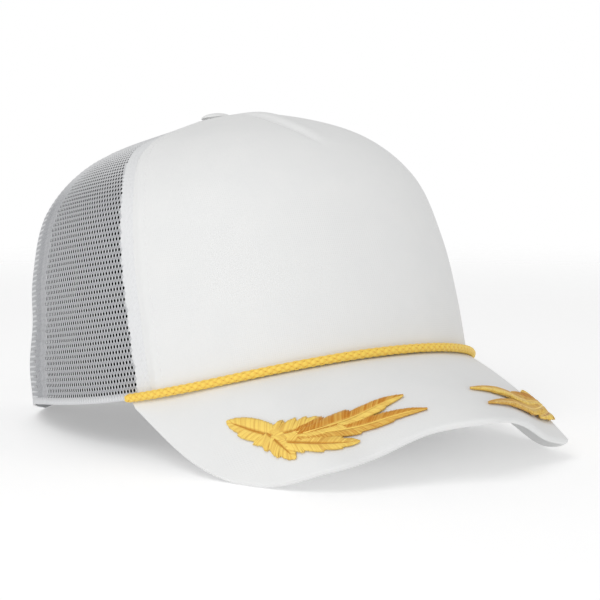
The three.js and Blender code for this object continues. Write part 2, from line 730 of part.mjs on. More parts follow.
const frontSeamAt = (level) => alongRows(crownColumns.frontSeam, level);
const sideSeamAt = (level) => alongRows(crownColumns.sideSeam, level);
const backSeamAt = () => BACK_CENTRE;
const netTapeDepth = () => NET_TAPE_DEPTH;
const frontTape = seamTape(frontSeamAt, SEAM_TAPE_ROWS, TAPE_COLUMNS.front, frontTapeDepth);
const sideTape = seamTape(sideSeamAt, SEAM_TAPE_ROWS, TAPE_COLUMNS.side, netTapeDepth);
const backTape = seamTape(backSeamAt, BACK_TAPE_ROWS, TAPE_COLUMNS.back, netTapeDepth);

addPiece('front_panel', frontPanel(), COLOURS.cloth, 0.9);
addPair('side_mesh', sideNet(), COLOURS.net, 0.8);
addPair('back_mesh', backNet(), COLOURS.net, 0.8);
addPair('front_seam', frontTape, COLOURS.tape, 0.85);
addPair('side_seam', sideTape, COLOURS.tape, 0.85);
addPiece('back_seam', backTape, COLOURS.tape, 0.85);
addPiece('opening_binding', binding(), COLOURS.cloth, 0.85);
addPiece('sweatband', sweatband(), COLOURS.band, 0.9);
addPiece('peak', peak(), COLOURS.cloth, 0.85);
addPiece('front_rope', rope(), COLOURS.gold, 0.5);
addPair('leaf_spray', leafSpray(), COLOURS.gold, 0.5);
addPiece('strap_right', pegStrap(), COLOURS.plastic, 0.4);
addPiece('strap_left', holeStrap(), COLOURS.plastic, 0.4);
addPiece('top_button', button(), COLOURS.cloth, 0.85);

cap.rotation.x = radians(-REST_TILT);
cap.position.set(0, REST_BACK, REST_LIFT);

const group = new THREE.Group();
group.add(cap);

export default group;
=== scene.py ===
"""Trucker cap: foam front, net sides and back, curved peak, rope trim and two leaf sprays.

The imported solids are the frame, and each class below dresses one part of the cap over them. Shapes
are worked out upright in millimetres, as the solids are, and rest() then tips them to the way the
cap stands, in metres. Angles round the crown start at the front centre and grow towards the
wearer's right side, which is -X. Levels run from the crown's bottom edge (0) to its top (1).
"""
import logging
import math
from abc import ABC, abstractmethod
from collections.abc import Callable, Sequence
from dataclasses import dataclass
from enum import Enum
from functools import partial

import bpy
import numpy as np
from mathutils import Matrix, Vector
from mathutils.geometry import delaunay_2d_cdt


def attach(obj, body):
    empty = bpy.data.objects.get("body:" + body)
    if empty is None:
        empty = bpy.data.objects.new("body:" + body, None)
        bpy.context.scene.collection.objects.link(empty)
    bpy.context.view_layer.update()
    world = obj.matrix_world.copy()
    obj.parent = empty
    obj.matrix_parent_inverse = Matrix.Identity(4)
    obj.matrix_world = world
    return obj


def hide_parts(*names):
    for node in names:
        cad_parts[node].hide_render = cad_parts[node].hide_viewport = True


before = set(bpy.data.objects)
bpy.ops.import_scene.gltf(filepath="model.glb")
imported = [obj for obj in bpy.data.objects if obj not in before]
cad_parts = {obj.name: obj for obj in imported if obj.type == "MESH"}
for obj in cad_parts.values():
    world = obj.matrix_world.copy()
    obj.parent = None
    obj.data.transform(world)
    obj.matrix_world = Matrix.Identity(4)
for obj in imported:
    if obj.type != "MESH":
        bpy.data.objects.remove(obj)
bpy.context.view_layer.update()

log = logging.getLogger("cap")

Array = np.ndarray
DepthAt = Callable[[Array, Array], Array]
AddNode = Callable[..., bpy.types.Node]

MM = 0.001
REST_TILT = math.radians(8.2)
REST_LIFT = 15.92
REST_BACK = 26.1
BACK_CENTRE = 180.0
# Cloth from level 0 to level 1, in mm, for places on the cloth.
LEVEL_LENGTH = 150
# Radius of the middle of a turned body's flat ends, in mm.
AXIS_RADIUS = 0.02


class Side(Enum):
    """The wearer's side that a piece belongs to. Its value mirrors X."""

    RIGHT = 1.0
    LEFT = -1.0

    @property
    def word(self) -> str:
        """The side's name as the nodes have it."""
        return self.name.lower()


def rest(points: Array) -> Array:
    """Tips upright points to the way the cap rests.

    Args:
        points: Points in millimetres, one in each row.

    Returns:
        The same points in metres, in the frame of the solids.
    """
    x, y, z = np.moveaxis(np.asarray(points, float), -1, 0)
    cos, sin = math.cos(REST_TILT), math.sin(REST_TILT)
    return np.stack([x, y * cos + z * sin + REST_BACK, z * cos - y * sin + REST_LIFT], -1) * MM


def smooth(value: Array) -> Array:
    """Soft step from 0 to 1 for a value that runs from 0 to 1."""
    part = np.clip(value, 0, 1)
    return part * part * (3 - 2 * part)


def mix(low: Array, high: Array, part: Array) -> Array:
    """Value between two others, at a part from 0 to 1."""
    return low + (high - low) * part


def unit(vectors: Array) -> Array:
    """Vectors of length one along the same directions."""
    return vectors / np.maximum(np.linalg.norm(vectors, axis=-1, keepdims=True), 1e-9)


def bell(distance: Array, reach: float) -> Array:
    """Soft bump that is 1 at no distance and dies away over its reach."""
    return np.exp(-((distance / reach) ** 2))


def distance_along(paths: Array) -> Array:
    """Distance of every point from the start of its path, in the points' own unit."""
    steps = np.linalg.norm(np.diff(paths, axis=-2), axis=-1)
    return np.concatenate([np.zeros((*steps.shape[:-1], 1)), np.cumsum(steps, axis=-1)], axis=-1)


def points_at(spots: Array, reach: Array, path: Array) -> Array:
    """Points at given distances along a path, where reach is the distance of each of its points."""
    return np.stack([np.interp(spots, reach, path[:, k]) for k in range(3)], -1)


def grid_places(columns: int, rows: int) -> tuple[Array, Array]:
    """Places of a grid's points: -1 to 1 over its columns, and 0 to 1 up its rows."""
    over, up = np.linspace(-1, 1, columns + 1), np.linspace(0, 1, rows + 1)
    return tuple(np.meshgrid(over, up, indexing="ij"))


def along_rows(rows: Array, place: Array) -> Array:
    """Value of a table column at a place along its rows, on a curve through every row.

    Args:
        rows: The column, with one more value at each end.
        place: Where to read it, from 0 to 1.

    Returns:
        The values there.
    """
    last = len(rows) - 3
    spot = np.clip(place, 0, 1) * last
    row = np.minimum(np.floor(spot), last - 1).astype(int)
    part = spot - row
    a, b, c, d = (rows[row + k] for k in range(4))
    curve = (2 * a - 5 * b + 4 * c - d) * part**2 + (3 * b - a - 3 * c + d) * part**3
    return 0.5 * (2 * b + (c - a) * part + curve)


def turn_within(angle: Array) -> Array:
    """The same angle between -180 and 180 degrees."""
    return (np.asarray(angle, float) + 180) % 360 - 180


@dataclass(frozen=True)
class CrownSection:
    """One level of the crown: its height, its reach each way and its seams, in mm and degrees."""

    rise: float
    front: float
    back: float
    half: float
    front_seam: float
    side_seam: float


@dataclass(frozen=True)
class Fold:
    """A soft fold on both sides of the crown: where it lies, how far it spreads and its depth."""

    angle: float
    rise: float
    angle_spread: float
    rise_spread: float
    depth: float


@dataclass(frozen=True)
class Crown:
    """The crown's outer form, in the same numbers as the solids."""

    sections: tuple[CrownSection, ...] = (
        CrownSection(0, 108, 108, 85, 63.5, 103),
        CrownSection(28, 104, 106, 84, 64.5, 103),
        CrownSection(56, 97, 101, 81, 65.5, 103),
        CrownSection(83, 87, 94.5, 72, 68, 104),
        CrownSection(102.5, 67, 74, 51, 76, 108),
        CrownSection(114, 34, 44, 17, 83, 118),
        CrownSection(118, -7, 7, 0, 87, 128),
    )
    folds: tuple[Fold, ...] = (Fold(150, 36, 55, 11, 1.2), Fold(120, 14, 25, 10, -0.7))
    roundness: float = 2.18
    front_arch: float = 11
    front_arch_end: float = 88
    corner_droop: float = 4.2
    droop_start: float = 112
    droop_end: float = 150
    upright_from_level: float = 0.12
    normal_step: float = 0.004
    panel_top: float = 0.975
    level_steps: int = 2000

    @property
    def height(self) -> float:
        """Height of the top over the bottom edge, in mm."""
        return self.sections[-1].rise

    @property
    def top_shift(self) -> float:
        """How far the top lies behind the middle, in mm."""
        return self.sections[-1].back

    def column(self, name: str, level: Array) -> Array:
        """Reads one column of the section table.

        Args:
            name: The column's name.
            level: Level from the bottom edge (0) to the top (1).

        Returns:
            The column's values there.
        """
        values = [getattr(section, name) for section in self.sections]
        runs_through_top = name in ("front", "back", "half")
        past_top = 2 * values[-1] - values[-2] if runs_through_top else values[-2]
        rows = np.array([2 * values[0] - values[1], *values, past_top], float)
        return along_rows(rows, np.asarray(level, float))

    def edge_rise(self, angle: Array) -> Array:
        """Height of the bottom edge: arched over the peak and drooping at the back corners."""
        turn = np.abs(angle)
        from_front = np.minimum(turn / self.front_arch_end, 1)
        arch = self.front_arch * (0.5 + 0.5 * np.cos(np.pi * from_front))
        droop = smooth((turn - self.droop_start) / (self.droop_end - self.droop_start))
        return arch - self.corner_droop * droop

    def form(self, angle: Array, level: Array) -> Array:
        """Points on the smooth outer form, without its folds."""
        angle, level = np.broadcast_arrays(np.asarray(angle, float), np.asarray(level, float))
        side, ahead = np.sin(np.radians(angle)), np.cos(np.radians(angle))
        middle = self.top_shift * level
        power = 2 / self.roundness
        front = -(middle + self.column("front", level))
        back = self.column("back", level) - middle
        rise = self.column("rise", level)
        lift = self.edge_rise(turn_within(angle)) * (1 - rise / self.height) ** 2
        x = -self.column("half", level) * np.sign(side) * np.abs(side) ** power
        y = middle + np.where(ahead > 0, front, back) * np.abs(ahead) ** power
        return np.stack([x, y, rise + lift], -1)

    def normal(self, angle: Array, level: Array) -> Array:
        """Outward direction, level at the bottom edge where the walls stand upright."""
        above = self.form(angle, np.minimum(level + self.normal_step, 1))
        up = above - self.form(angle, np.maximum(level - self.normal_step, 0))
        normal = np.cross(up, self.form(angle + 1, level) - self.form(angle - 1, level))
        normal[..., 2] *= np.minimum(1, level / self.upright_from_level)
        return unit(normal)

    def fold_depth(self, angle: Array, rise: Array) -> Array:
        """How far the soft folds take the surface inward, in mm."""
        depth = np.zeros(np.broadcast(angle, rise).shape)
        for fold in self.folds:
            aside = (np.abs(turn_within(angle)) - fold.angle) / fold.angle_spread
            above = (rise - fold.rise) / fold.rise_spread
            depth = depth + fold.depth * np.exp(-(aside**2) - above**2)
        return depth

    def point(self, angle: Array, level: Array, depth: Array = 0.0) -> Array:
        """Points at a depth under the outer form.

        Args:
            angle: Angle round the crown, in degrees.
            level: Level from the bottom edge (0) to the top (1).
            depth: Millimetres inward.

        Returns:
            The points, in mm.
        """
        angle, level = np.broadcast_arrays(np.asarray(angle, float), np.asarray(level, float))
        form = self.form(angle, level)
        inward = depth + self.fold_depth(angle, form[..., 2])
        return form - self.normal(angle, level) * np.asarray(inward)[..., None]

    def level_at(self, rise: Array) -> Array:
        """Level at which the crown reaches a height over its bottom edge."""
        levels = np.linspace(0, 1, self.level_steps + 1)
        return np.interp(rise, self.column("rise", levels), levels)

    def arc_per_degree(self, angle: Array, level: Array) -> Array:
        """Millimetres along the crown for one degree."""
        two_degrees = self.form(angle + 1, level) - self.form(angle - 1, level)
        return np.linalg.norm(two_degrees, axis=-1) / 2

    def floor_at(self, y: Array) -> Array:
        """Height of the surface under the cap, seen from the upright cap."""
        return y * math.tan(REST_TILT) - REST_LIFT / math.cos(REST_TILT)


CROWN = Crown()


@dataclass
class Build:
    """Points and groups of faces for one mesh, and what they carry.

    Every point has a UV, its place on the cloth in mm, and a tone from 0 to 1. Every group of
    faces has a slot, the number of its finish. What isn't given is zero.
    """

    points: Array
    faces: list[Array]
    uv: Array | None = None
    tone: Array | None = None
    slots: list[int] | None = None

    def __post_init__(self) -> None:
        """Fills in zeros for what isn't given."""
        count = len(self.points)
        self.uv = np.zeros((count, 2)) if self.uv is None else self.uv
        self.tone = np.zeros(count) if self.tone is None else self.tone
        self.slots = self.slots or [0] * len(self.faces)


def joined(parts: Sequence[Build]) -> Build:
    """Puts several builds into one."""
    starts = np.cumsum([0, *[len(part.points) for part in parts]])
    faces = [corners + start for part, start in zip(parts, starts) for corners in part.faces]
    slots = [slot for part in parts for slot in part.slots]
    columns = zip(*[(part.points, part.uv, part.tone) for part in parts])
    points, uv, tone = (np.concatenate(column) for column in columns)
    return Build(points, faces, uv, tone, slots)


def grid_faces(columns: int, rows: int) -> Array:
    """Quads of a grid of points, where a column's points stand together."""
    i, j = np.meshgrid(np.arange(columns), np.arange(rows), indexing="ij")
    corner = (i * (rows + 1) + j).ravel()
    return np.stack([corner, corner + 1, corner + rows + 2, corner + rows + 1], -1)


def shell(
    outer: Array, inner: Array, faces: Array, uv: Array | None, tone: Array | None = None
) -> Build:
    """Closed body between an outer and an inner layer of the same points.

    Args:
        outer: Points of the outer layer.
        inner: The same points on the inner layer.
        faces: Faces of the outer layer.
        uv: Places of the outer layer's points on the cloth, in mm.
        tone: One value for each point, from light thread (0) to dark (1).

    Returns:
        The body, with walls along every open edge. Its inner layer has slot 1.
    """
    outer, inner = outer.reshape(-1, 3), inner.reshape(-1, 3)
    count = len(outer)
    all_faces = [faces, faces[:, ::-1] + count, walls_round(faces, count)]
    twice = [None if values is None else np.concatenate([values] * 2) for values in (uv, tone)]
    return facing_out(Build(np.concatenate([outer, inner]), all_faces, *twice, [0, 1, 0]))


def walls_round(faces: Array, count: int) -> Array:
    """Quads from every open edge of a layer's faces to the same edge of the layer after it."""
    starts, ends = faces.ravel(), np.roll(faces, -1, axis=1).ravel()
    alone = ~np.isin(starts * count + ends, ends * count + starts)
    a, b = starts[alone], ends[alone]
    return np.stack([b, a, a + count, b + count], -1)


def swept(rings: Array, uv: Array | None = None) -> Build:
    """Closed body through rings of points, with a flat face at each end.

    Args:
        rings: The points, one ring in each row.
        uv: Their places on the cloth, in mm.

    Returns:
        The body.
    """
    stations, count = rings.shape[:2]
    i, j = np.meshgrid(np.arange(stations - 1), np.arange(count), indexing="ij")
    a, b = (i * count + j).ravel(), (i * count + (j + 1) % count).ravel()
    quads = np.stack([a, b, b + count, a + count], -1)
    ring = np.arange(count)[None, :]
    faces = [quads, ring[:, ::-1], (stations - 1) * count + ring]
    return facing_out(Build(rings.reshape(-1, 3), faces, uv))


def facing_out(build: Build) -> Build:
    """Turns a closed body's faces round where its volume comes out negative."""
    volume = 0.0
    for corners in build.faces:
        first = build.points[corners[:, 0]]
        for k in range(1, corners.shape[1] - 1):
            cross = np.cross(build.points[corners[:, k]], build.points[corners[:, k + 1]])
            volume += float((first * cross).sum())
    if volume < 0:
        build.faces = [corners[:, ::-1] for corners in build.faces]
    return build


def tubes(paths: Array, ups: Array, width: Array, height: Array, sides: int, taper: Array) -> Build:
    """Many closed tubes of one flattened section, one along each path.

    Args:
        paths: Middle points, one path in each row.
        ups: The direction of each section's short side.
        width: Half the section's width, in mm.
        height: Half the section's height, in mm.
        sides: Corners of the section.
        taper: Share of the full size at each station.

    Returns:
        The tubes, with UVs along (mm) and round them (0 to 1).
    """
    count, stations, _ = paths.shape
    forward = unit(np.gradient(paths, axis=1))
    side = unit(np.cross(forward, ups))
    up = np.cross(side, forward)
    turn = 2 * np.pi * np.arange(sides) / sides
    across = side[:, :, None] * (width * np.cos(turn))[:, None]
    above = up[:, :, None] * (height * np.sin(turn))[:, None]
    points = paths[:, :, None] + (across + above) * taper[None, :, None, None]
    tube = np.arange(count)[:, None, None] * stations * sides
    station = np.arange(stations - 1)[None, :, None] * sides
    corner = np.arange(sides)[None, None, :]
    beside = (corner + 1) % sides
    a, b = tube + station + corner, tube + station + beside
    quads = np.stack([a, b, b + sides, a + sides], -1).reshape(-1, 4)
    first = (tube + corner)[:, 0, ::-1]
    last = (tube + corner)[:, 0] + (stations - 1) * sides
    along = distance_along(paths)[:, :, None]
    uv = np.stack(np.broadcast_arrays(along, corner / sides), -1).reshape(-1, 2)
    return facing_out(Build(points.reshape(-1, 3), [quads, first, last], uv))


def add_node(
    tree: bpy.types.NodeTree,
    kind: str,
    settings: dict[str | int, object] | None = None,
    links: dict[str | int, bpy.types.NodeSocket | bpy.types.Node] | None = None,
) -> bpy.types.Node:
    """Adds a node with its settings and links.

    Args:
        tree: The node tree.
        kind: The node's type, without its first word, ShaderNode.
        settings: Values by property name (lower case) or socket (number or capitalised name).
        links: What feeds an input, by its name or number: a socket, or a node's first output.

    Returns:
        The new node.
    """
    node = tree.nodes.new(f"ShaderNode{kind}")
    for name, value in (settings or {}).items():
        if isinstance(name, str) and name[0].islower():
            setattr(node, name, value)
        else:
            node.inputs[name].default_value = value
    for name, source in (links or {}).items():
        socket = source.outputs[0] if isinstance(source, bpy.types.Node) else source
        tree.links.new(socket, node.inputs[name])
    return node


def linear(hex_colour: str) -> tuple[float, float, float, float]:
    """Turns an sRGB hex value into linear red, green, blue and alpha."""
    values = [int(hex_colour[k : k + 2], 16) / 255 for k in (1, 3, 5)]
    red, green, blue = (v / 12.92 if v <= 0.04045 else ((v + 0.055) / 1.055) ** 2.4 for v in values)
    return red, green, blue, 1.0


WAVE_TURNS_PER_UNIT = 20 / (2 * math.pi)


def wave_scale(pitch: float) -> float:
    """Scale of a wave texture that repeats at a pitch given in the coordinate's own unit."""
    return 1 / (pitch * WAVE_TURNS_PER_UNIT)


@dataclass(frozen=True)
class Finish(ABC):
    """A finish of the cap, named for the real material and how its surface was made."""

    name: str

    @abstractmethod
    def shader(self, add: AddNode) -> bpy.types.Node:
        """Builds the nodes of the finish and returns the last one, its shader."""

    def material(self) -> bpy.types.Material:
        """Builds the material of the finish."""
        material = bpy.data.materials.new(self.name)
        material.use_nodes = True
        material.node_tree.nodes.clear()
        add = partial(add_node, material.node_tree)
        add("OutputMaterial", {}, {"Surface": self.shader(add)})
        return material


@dataclass(frozen=True)
class Cloth(Finish):
    """A woven or knitted cloth: its colour and how far that wanders, and the relief of its threads.

    UVs are millimetres along and across the cloth, so the thread pitch is a real size.
    """

    colour: str
    shade: str
    roughness: float
    sheen: float
    pitch_along: float
    pitch_across: float
    relief: float
    softness: float = 0.05
    mottle_size: float = 14

    def shader(self, add: AddNode) -> bpy.types.Node:
        """Builds threads as crossed waves, and a soft wander of the colour."""
        place = add("UVMap", {"uv_map": "threads"})
        waves = []
        for direction, pitch in (("X", self.pitch_along), ("Y", self.pitch_across)):
            settings = {"wave_type": "BANDS", "bands_direction": direction, "Distortion": 0.3}
            wave = add("TexWave", settings | {"Scale": wave_scale(pitch)}, {"Vector": place})
            waves.append(wave.outputs["Fac"])
        threads = add("Math", {"operation": "MULTIPLY"}, {0: waves[0], 1: waves[1]})
        solid = add("TexCoord")
        wander = add(
            "TexNoise",
            {"Scale": 1 / (self.mottle_size * MM), "Detail": 4.0, "Roughness": 0.6},
            {"Vector": solid.outputs["Object"]},
        )
        colour = add(
            "Mix",
            {"data_type": "RGBA", 6: linear(self.colour), 7: linear(self.shade)},
            {0: wander.outputs["Fac"]},
        )
        soft = add(
            "Bump",
            {"Strength": self.softness, "Distance": self.mottle_size * MM * 0.1},
            {"Height": wander.outputs["Fac"]},
        )
        bump = add(
            "Bump",
            {"Strength": 0.6, "Distance": self.relief * MM},
            {"Height": threads, "Normal": soft},
        )
        return add(
            "BsdfPrincipled",
            {
                "Roughness": self.roughness,
                "Sheen Weight": self.sheen,
                "Sheen Roughness": 0.5,
                "Specular IOR Level": 0.3,
            },
            {"Base Color": colour.outputs[2], "Normal": bump},
        )


@dataclass(frozen=True)
class NetYarn(Finish):
    """Warp-knitted polyester net. The tone attribute is 1 where white tape shines through it.

    Lower tones also paint highlights on the yarn's pillars and light towards the crown's top.
    """

    yarn: str
    shade: str
    over_tape: str
    tone_from: float
    sheen: float
    gloss: float
    roughness: float = 0.6
    stitch_pitch: float = 0.6
    relief: float = 0.15

    def shader(self, add: AddNode) -> bpy.types.Node:
        """Builds the slanting relief of the yarn, and a lighter tone over the tapes and where light
        is painted.
        """
        place = add("UVMap", {"uv_map": "threads"})
        yarn = add(
            "TexWave",
            {
                "wave_type": "BANDS",
                "bands_direction": "DIAGONAL",
                "Scale": wave_scale(self.stitch_pitch),
                "Distortion": 1.5,
                "Detail": 1.0,
            },
            {"Vector": place},
        )
        body = add(
            "Mix",
            {"data_type": "RGBA", 6: linear(self.shade), 7: linear(self.yarn)},
            {0: yarn.outputs["Fac"]},
        )
        tone = add("Attribute", {"attribute_name": "tone"})
        lighter = add("MapRange", {"From Min": self.tone_from}, {"Value": tone.outputs["Fac"]})
        colour = add(
            "Mix",
            {"data_type": "RGBA", 7: linear(self.over_tape)},
            {0: lighter, 6: body.outputs[2]},
        )
        bump = add(
            "Bump", {"Strength": 0.5, "Distance": self.relief * MM}, {"Height": yarn.outputs["Fac"]}
        )
        return add(
            "BsdfPrincipled",
            {
                "Roughness": self.roughness,
                "Sheen Weight": self.sheen,
                "Specular IOR Level": self.gloss,
            },
            {"Base Color": colour.outputs[2], "Normal": bump},
        )


@dataclass(frozen=True)
class Thread(Finish):
    """Lustrous thread or cord. The tone attribute paints light and shade: 0 is painted light, 1
    painted shade.

    Filaments are counted per unit of the UVs across the thread, which run once round it.
    """

    light: str
    dark: str
    roughness: float
    sheen: float
    filaments: float
    relief: float

    def shader(self, add: AddNode) -> bpy.types.Node:
        """Builds fine filaments along the thread, and its tone from painted light to painted shade.
        """
        place = add("UVMap", {"uv_map": "threads"})
        filaments = add(
            "TexWave",
            {
                "wave_type": "BANDS",
                "bands_direction": "Y",
                "Scale": wave_scale(1 / self.filaments),
                "Distortion": 0.6,
            },
            {"Vector": place},
        )
        tone = add("Attribute", {"attribute_name": "tone"})
        colour = add(
            "Mix",
            {"data_type": "RGBA", 6: linear(self.light), 7: linear(self.dark)},
            {0: tone.outputs["Fac"]},
        )
        bump = add(
            "Bump",
            {"Strength": 0.5, "Distance": self.relief * MM},
            {"Height": filaments.outputs["Fac"]},
        )
        return add(
            "BsdfPrincipled",
            {"Roughness": self.roughness, "Sheen Weight": self.sheen, "Specular IOR Level": 0.35},
            {"Base Color": colour.outputs[2], "Normal": bump},
        )


@dataclass(frozen=True)
class Moulded(Finish):
    """Moulded plastic or enamelled metal: smooth, with the faint ripple that the tool leaves."""

    colour: str
    roughness: float
    ripple_size: float = 2.5
    ripple: float = 0.02

    def shader(self, add: AddNode) -> bpy.types.Node:
        """Builds a ripple in the gloss and in the surface."""
        solid = add("TexCoord")
        ripple = add(
            "TexNoise",
            {"Scale": 1 / (self.ripple_size * MM), "Detail": 3.0},
            {"Vector": solid.outputs["Object"]},
        )
        rough = add(
            "MapRange",
            {"To Min": self.roughness - 0.05, "To Max": self.roughness + 0.08},
            {"Value": ripple.outputs["Fac"]},
        )
        bump = add(
            "Bump",
            {"Strength": 0.3, "Distance": self.ripple * MM},
            {"Height": ripple.outputs["Fac"]},
        )
        return add(
            "BsdfPrincipled",
            {"Base Color": linear(self.colour)},
            {"Roughness": rough, "Normal": bump},
        )


@dataclass(frozen=True)
class Backdrop(Finish):
    """Seamless paper that glows a little and fades out far from the cap, in metres."""

    colour: str
    glow: float
    fade_from: float
    fade_to: float

    def shader(self, add: AddNode) -> bpy.types.Node:
        """Builds the paper, mixed with nothing at all by the distance from the middle."""
        solid = add("TexCoord")
        far = add("VectorMath", {"operation": "LENGTH"}, {0: solid.outputs["Object"]})
        fade = add(
            "MapRange",
            {
                "interpolation_type": "SMOOTHSTEP",
                "From Min": self.fade_from,
                "From Max": self.fade_to,
            },
            {"Value": far.outputs["Value"]},
        )
        paper = add(
            "BsdfPrincipled",
            {
                "Base Color": linear(self.colour),
                "Roughness": 0.9,
                "Specular IOR Level": 0.1,
                "Emission Color": linear("#ffffff"),
                "Emission Strength": self.glow,
            },
        )
        clear = add("BsdfTransparent")
        return add("MixShader", {}, {0: fade, 1: paper, 2: clear})


# Polyester knit bonded to foam: matt and even, with a soft mottle where the foam shows through.
# Real wales stand 0.4 mm apart, drawn 0.8 mm apart so that a trace of them shows.
FOAM_KNIT = Cloth(
    "foam_backed_polyester_knit", colour="#ebebea", shade="#e5e6e6", roughness=0.8, sheen=0.15,
    pitch_along=0.8, pitch_across=0.8, relief=0.05,
)
# Open-cell foam, cut and bare on the inside: quite matt and pitted. Its mid grey is painted shade
# for the crown's inside, seen through the net's holes.
FOAM_INSIDE_PAINTED_SHADE = Cloth(
    "foam_inside_painted_shade_grey", colour="#6d6e70", shade="#606163", roughness=0.95, sheen=0.0,
    pitch_along=1.1, pitch_across=1.1, relief=0.3, softness=0.3, mottle_size=3,
)
# Cotton twill over the peak's board: a close weave, drawn at 0.9 mm.
PEAK_TWILL = Cloth(
    "white_cotton_twill", colour="#ebebea", shade="#e5e6e6", roughness=0.78, sheen=0.12,
    pitch_along=0.9, pitch_across=0.9, relief=0.05,
)
# Woven polyester tape: flat, with ribs across at 1 mm.
TAPE_WEAVE = Cloth(
    "white_polyester_tape", colour="#dcdddf", shade="#d2d3d6", roughness=0.8, sheen=0.05,
    pitch_along=1.0, pitch_across=3.0, relief=0.12,
)
# Brushed cotton over a thin foam strip: matt, with twill ribs at 1 mm. Its dark grey is partly its
# own colour and partly painted shade for the crown's inside.
BAND_TWILL = Cloth(
    "brushed_cotton_dark_painted_shade", colour="#3f4144", shade="#36383b", roughness=0.9, sheen=0.2,
    pitch_along=1.0, pitch_across=1.0, relief=0.15,
)
# Warp-knitted polyester net, pale on its face: matt yarn that catches light along its ribs.
NET = NetYarn(
    "pale_grey_polyester_net", yarn="#b4b5b8", shade="#919296", over_tape="#ecedee",
    tone_from=0.0, sheen=0.1, gloss=0.35,
)
# The same net's back, near black: painted shade for the crown's inside, which makes the holes look
# nearly black.
NET_BACK_PAINTED_SHADE = NetYarn(
    "net_back_painted_shade", yarn="#0b0c0d", shade="#08090a", over_tape="#e2e3e5",
    tone_from=0.6, sheen=0.0, gloss=0.05,
)
# Braided rayon cord: satin yellow strands with fine filaments, and painted shade, brown-gold, in the
# grooves and on the core.
BRAID = Thread(
    "braided_satin_cord", light="#ffdc60", dark="#e9aa3a", roughness=0.45, sheen=0.1,
    filaments=6, relief=0.06,
)
# Rayon embroidery thread in satin stitch: bright where it turns to the light, orange away from it.
SATIN = Thread(
    "rayon_satin_stitch", light="#ffdd70", dark="#cb8012", roughness=0.42, sheen=0.08,
    filaments=4, relief=0.04,
)
# Spun polyester sewing thread: softly matt, a little whiter than the cloth, so stitches just show.
SEWING = Thread(
    "white_sewing_thread", light="#eeeeee", dark="#d8d8da", roughness=0.6, sheen=0.1,
    filaments=3, relief=0.04,
)
# Injection-moulded polypropylene: satin and slightly waxy, with soft highlights.
STRAP_PLASTIC = Moulded("white_moulded_polypropylene", colour="#ededeb", roughness=0.38)
# Pressed steel under white enamel: a soft gloss, under the crown.
RIVET_STEEL = Moulded("enamelled_steel_rivet", colour="#dfdfdd", roughness=0.3)
# White paper, rolled out flat: matt, it goes over into the background without an edge.
PALE_PAPER = Backdrop(
    "pale_paper_floor", colour="#e6e6e6", glow=0.35, fade_from=0.4, fade_to=1.2
)


def build_piece(
    name: str,
    build: Build,
    finishes: Sequence[bpy.types.Material],
    nodes: Sequence[str],
    slot: str,
    side: Side = Side.RIGHT,
    sharp_angle: float = 50,
) -> bpy.types.Object:
    """Makes a piece's mesh, dresses it and ties it to the frame.

    Args:
        name: The piece's name.
        build: Its points and faces, upright and in mm.
        finishes: One material for each slot of the build. Slots past the last one share it.
        nodes: The solids that it stands for.
        slot: The record's material slot. Not used.
        side: LEFT mirrors the build to the wearer's left.
        sharp_angle: Edges that turn more than this many degrees stay sharp.

    Returns:
        The new object.
    """
    points = build.points * np.array([side.value, 1, 1])
    faces = build.faces if side is Side.RIGHT else [corners[:, ::-1] for corners in build.faces]
    sizes = np.concatenate([np.full(len(corners), corners.shape[1]) for corners in faces])
    corners_flat = np.concatenate([corners.ravel() for corners in faces]).astype(np.int32)
    slots = [min(slot, len(finishes) - 1) for slot in build.slots]
    material_index = np.repeat(slots, [len(corners) for corners in faces])
    mesh = bpy.data.meshes.new(name)
    mesh.vertices.add(len(points))
    mesh.vertices.foreach_set("co", rest(points).astype(np.float32).ravel())
    mesh.loops.add(len(corners_flat))
    mesh.loops.foreach_set("vertex_index", corners_flat)
    mesh.polygons.add(len(sizes))
    mesh.polygons.foreach_set("loop_start", (np.cumsum(sizes) - sizes).astype(np.int32))
    mesh.polygons.foreach_set("material_index", material_index.astype(np.int32))
    layer = mesh.uv_layers.new(name="threads")
    layer.data.foreach_set("uv", build.uv[corners_flat].astype(np.float32).ravel())
    attribute = mesh.attributes.new("tone", "FLOAT", "POINT")
    attribute.data.foreach_set("value", build.tone.astype(np.float32))
    for finish in finishes:
        mesh.materials.append(finish)
    mesh.update(calc_edges=True)
    mesh.validate()
    mesh.shade_smooth()
    mesh.set_sharp_from_angle(angle=math.radians(sharp_angle))
    piece = bpy.data.objects.new(name, mesh)
    bpy.context.scene.collection.objects.link(piece)
    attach(piece, "root")
    if nodes:
        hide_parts(*nodes)
    log.info("%s: %d faces", name, len(sizes))
    return piece


@dataclass(frozen=True)
class Stitches:
    """A row of lockstitches: short threads on the cloth that dip into it at both ends, in mm."""

    length: float = 2.6
    gap: float = 0.5
    radius: float = 0.17
    proud: float = 0.02
    stations: int = 5
    sides: int = 5
    thinner: float = 0.4

    def row(self, path: Array, ups: Array) -> Build:
        """Lays the stitches along a path.

        Args:
            path: Points along the row, on the cloth.
            ups: The cloth's outward direction at each.

        Returns:
            The threads.
        """
        reach = distance_along(path)
        count = max(int(reach[-1] / (self.length + self.gap)), 1)
        starts = np.arange(count) * reach[-1] / count
        spots = starts[:, None] + np.linspace(0, self.length, self.stations)[None, :]
        middle, up = points_at(spots, reach, path), unit(points_at(spots, reach, ups))
        from_middle = np.abs(np.linspace(-1, 1, self.stations))
        lift = self.proud - (self.radius + self.proud) * from_middle**4
        taper = 1 - self.thinner * from_middle**3
        path = middle + up * lift[None, :, None]
        return tubes(path, up, self.radius, self.radius, self.sides, taper)


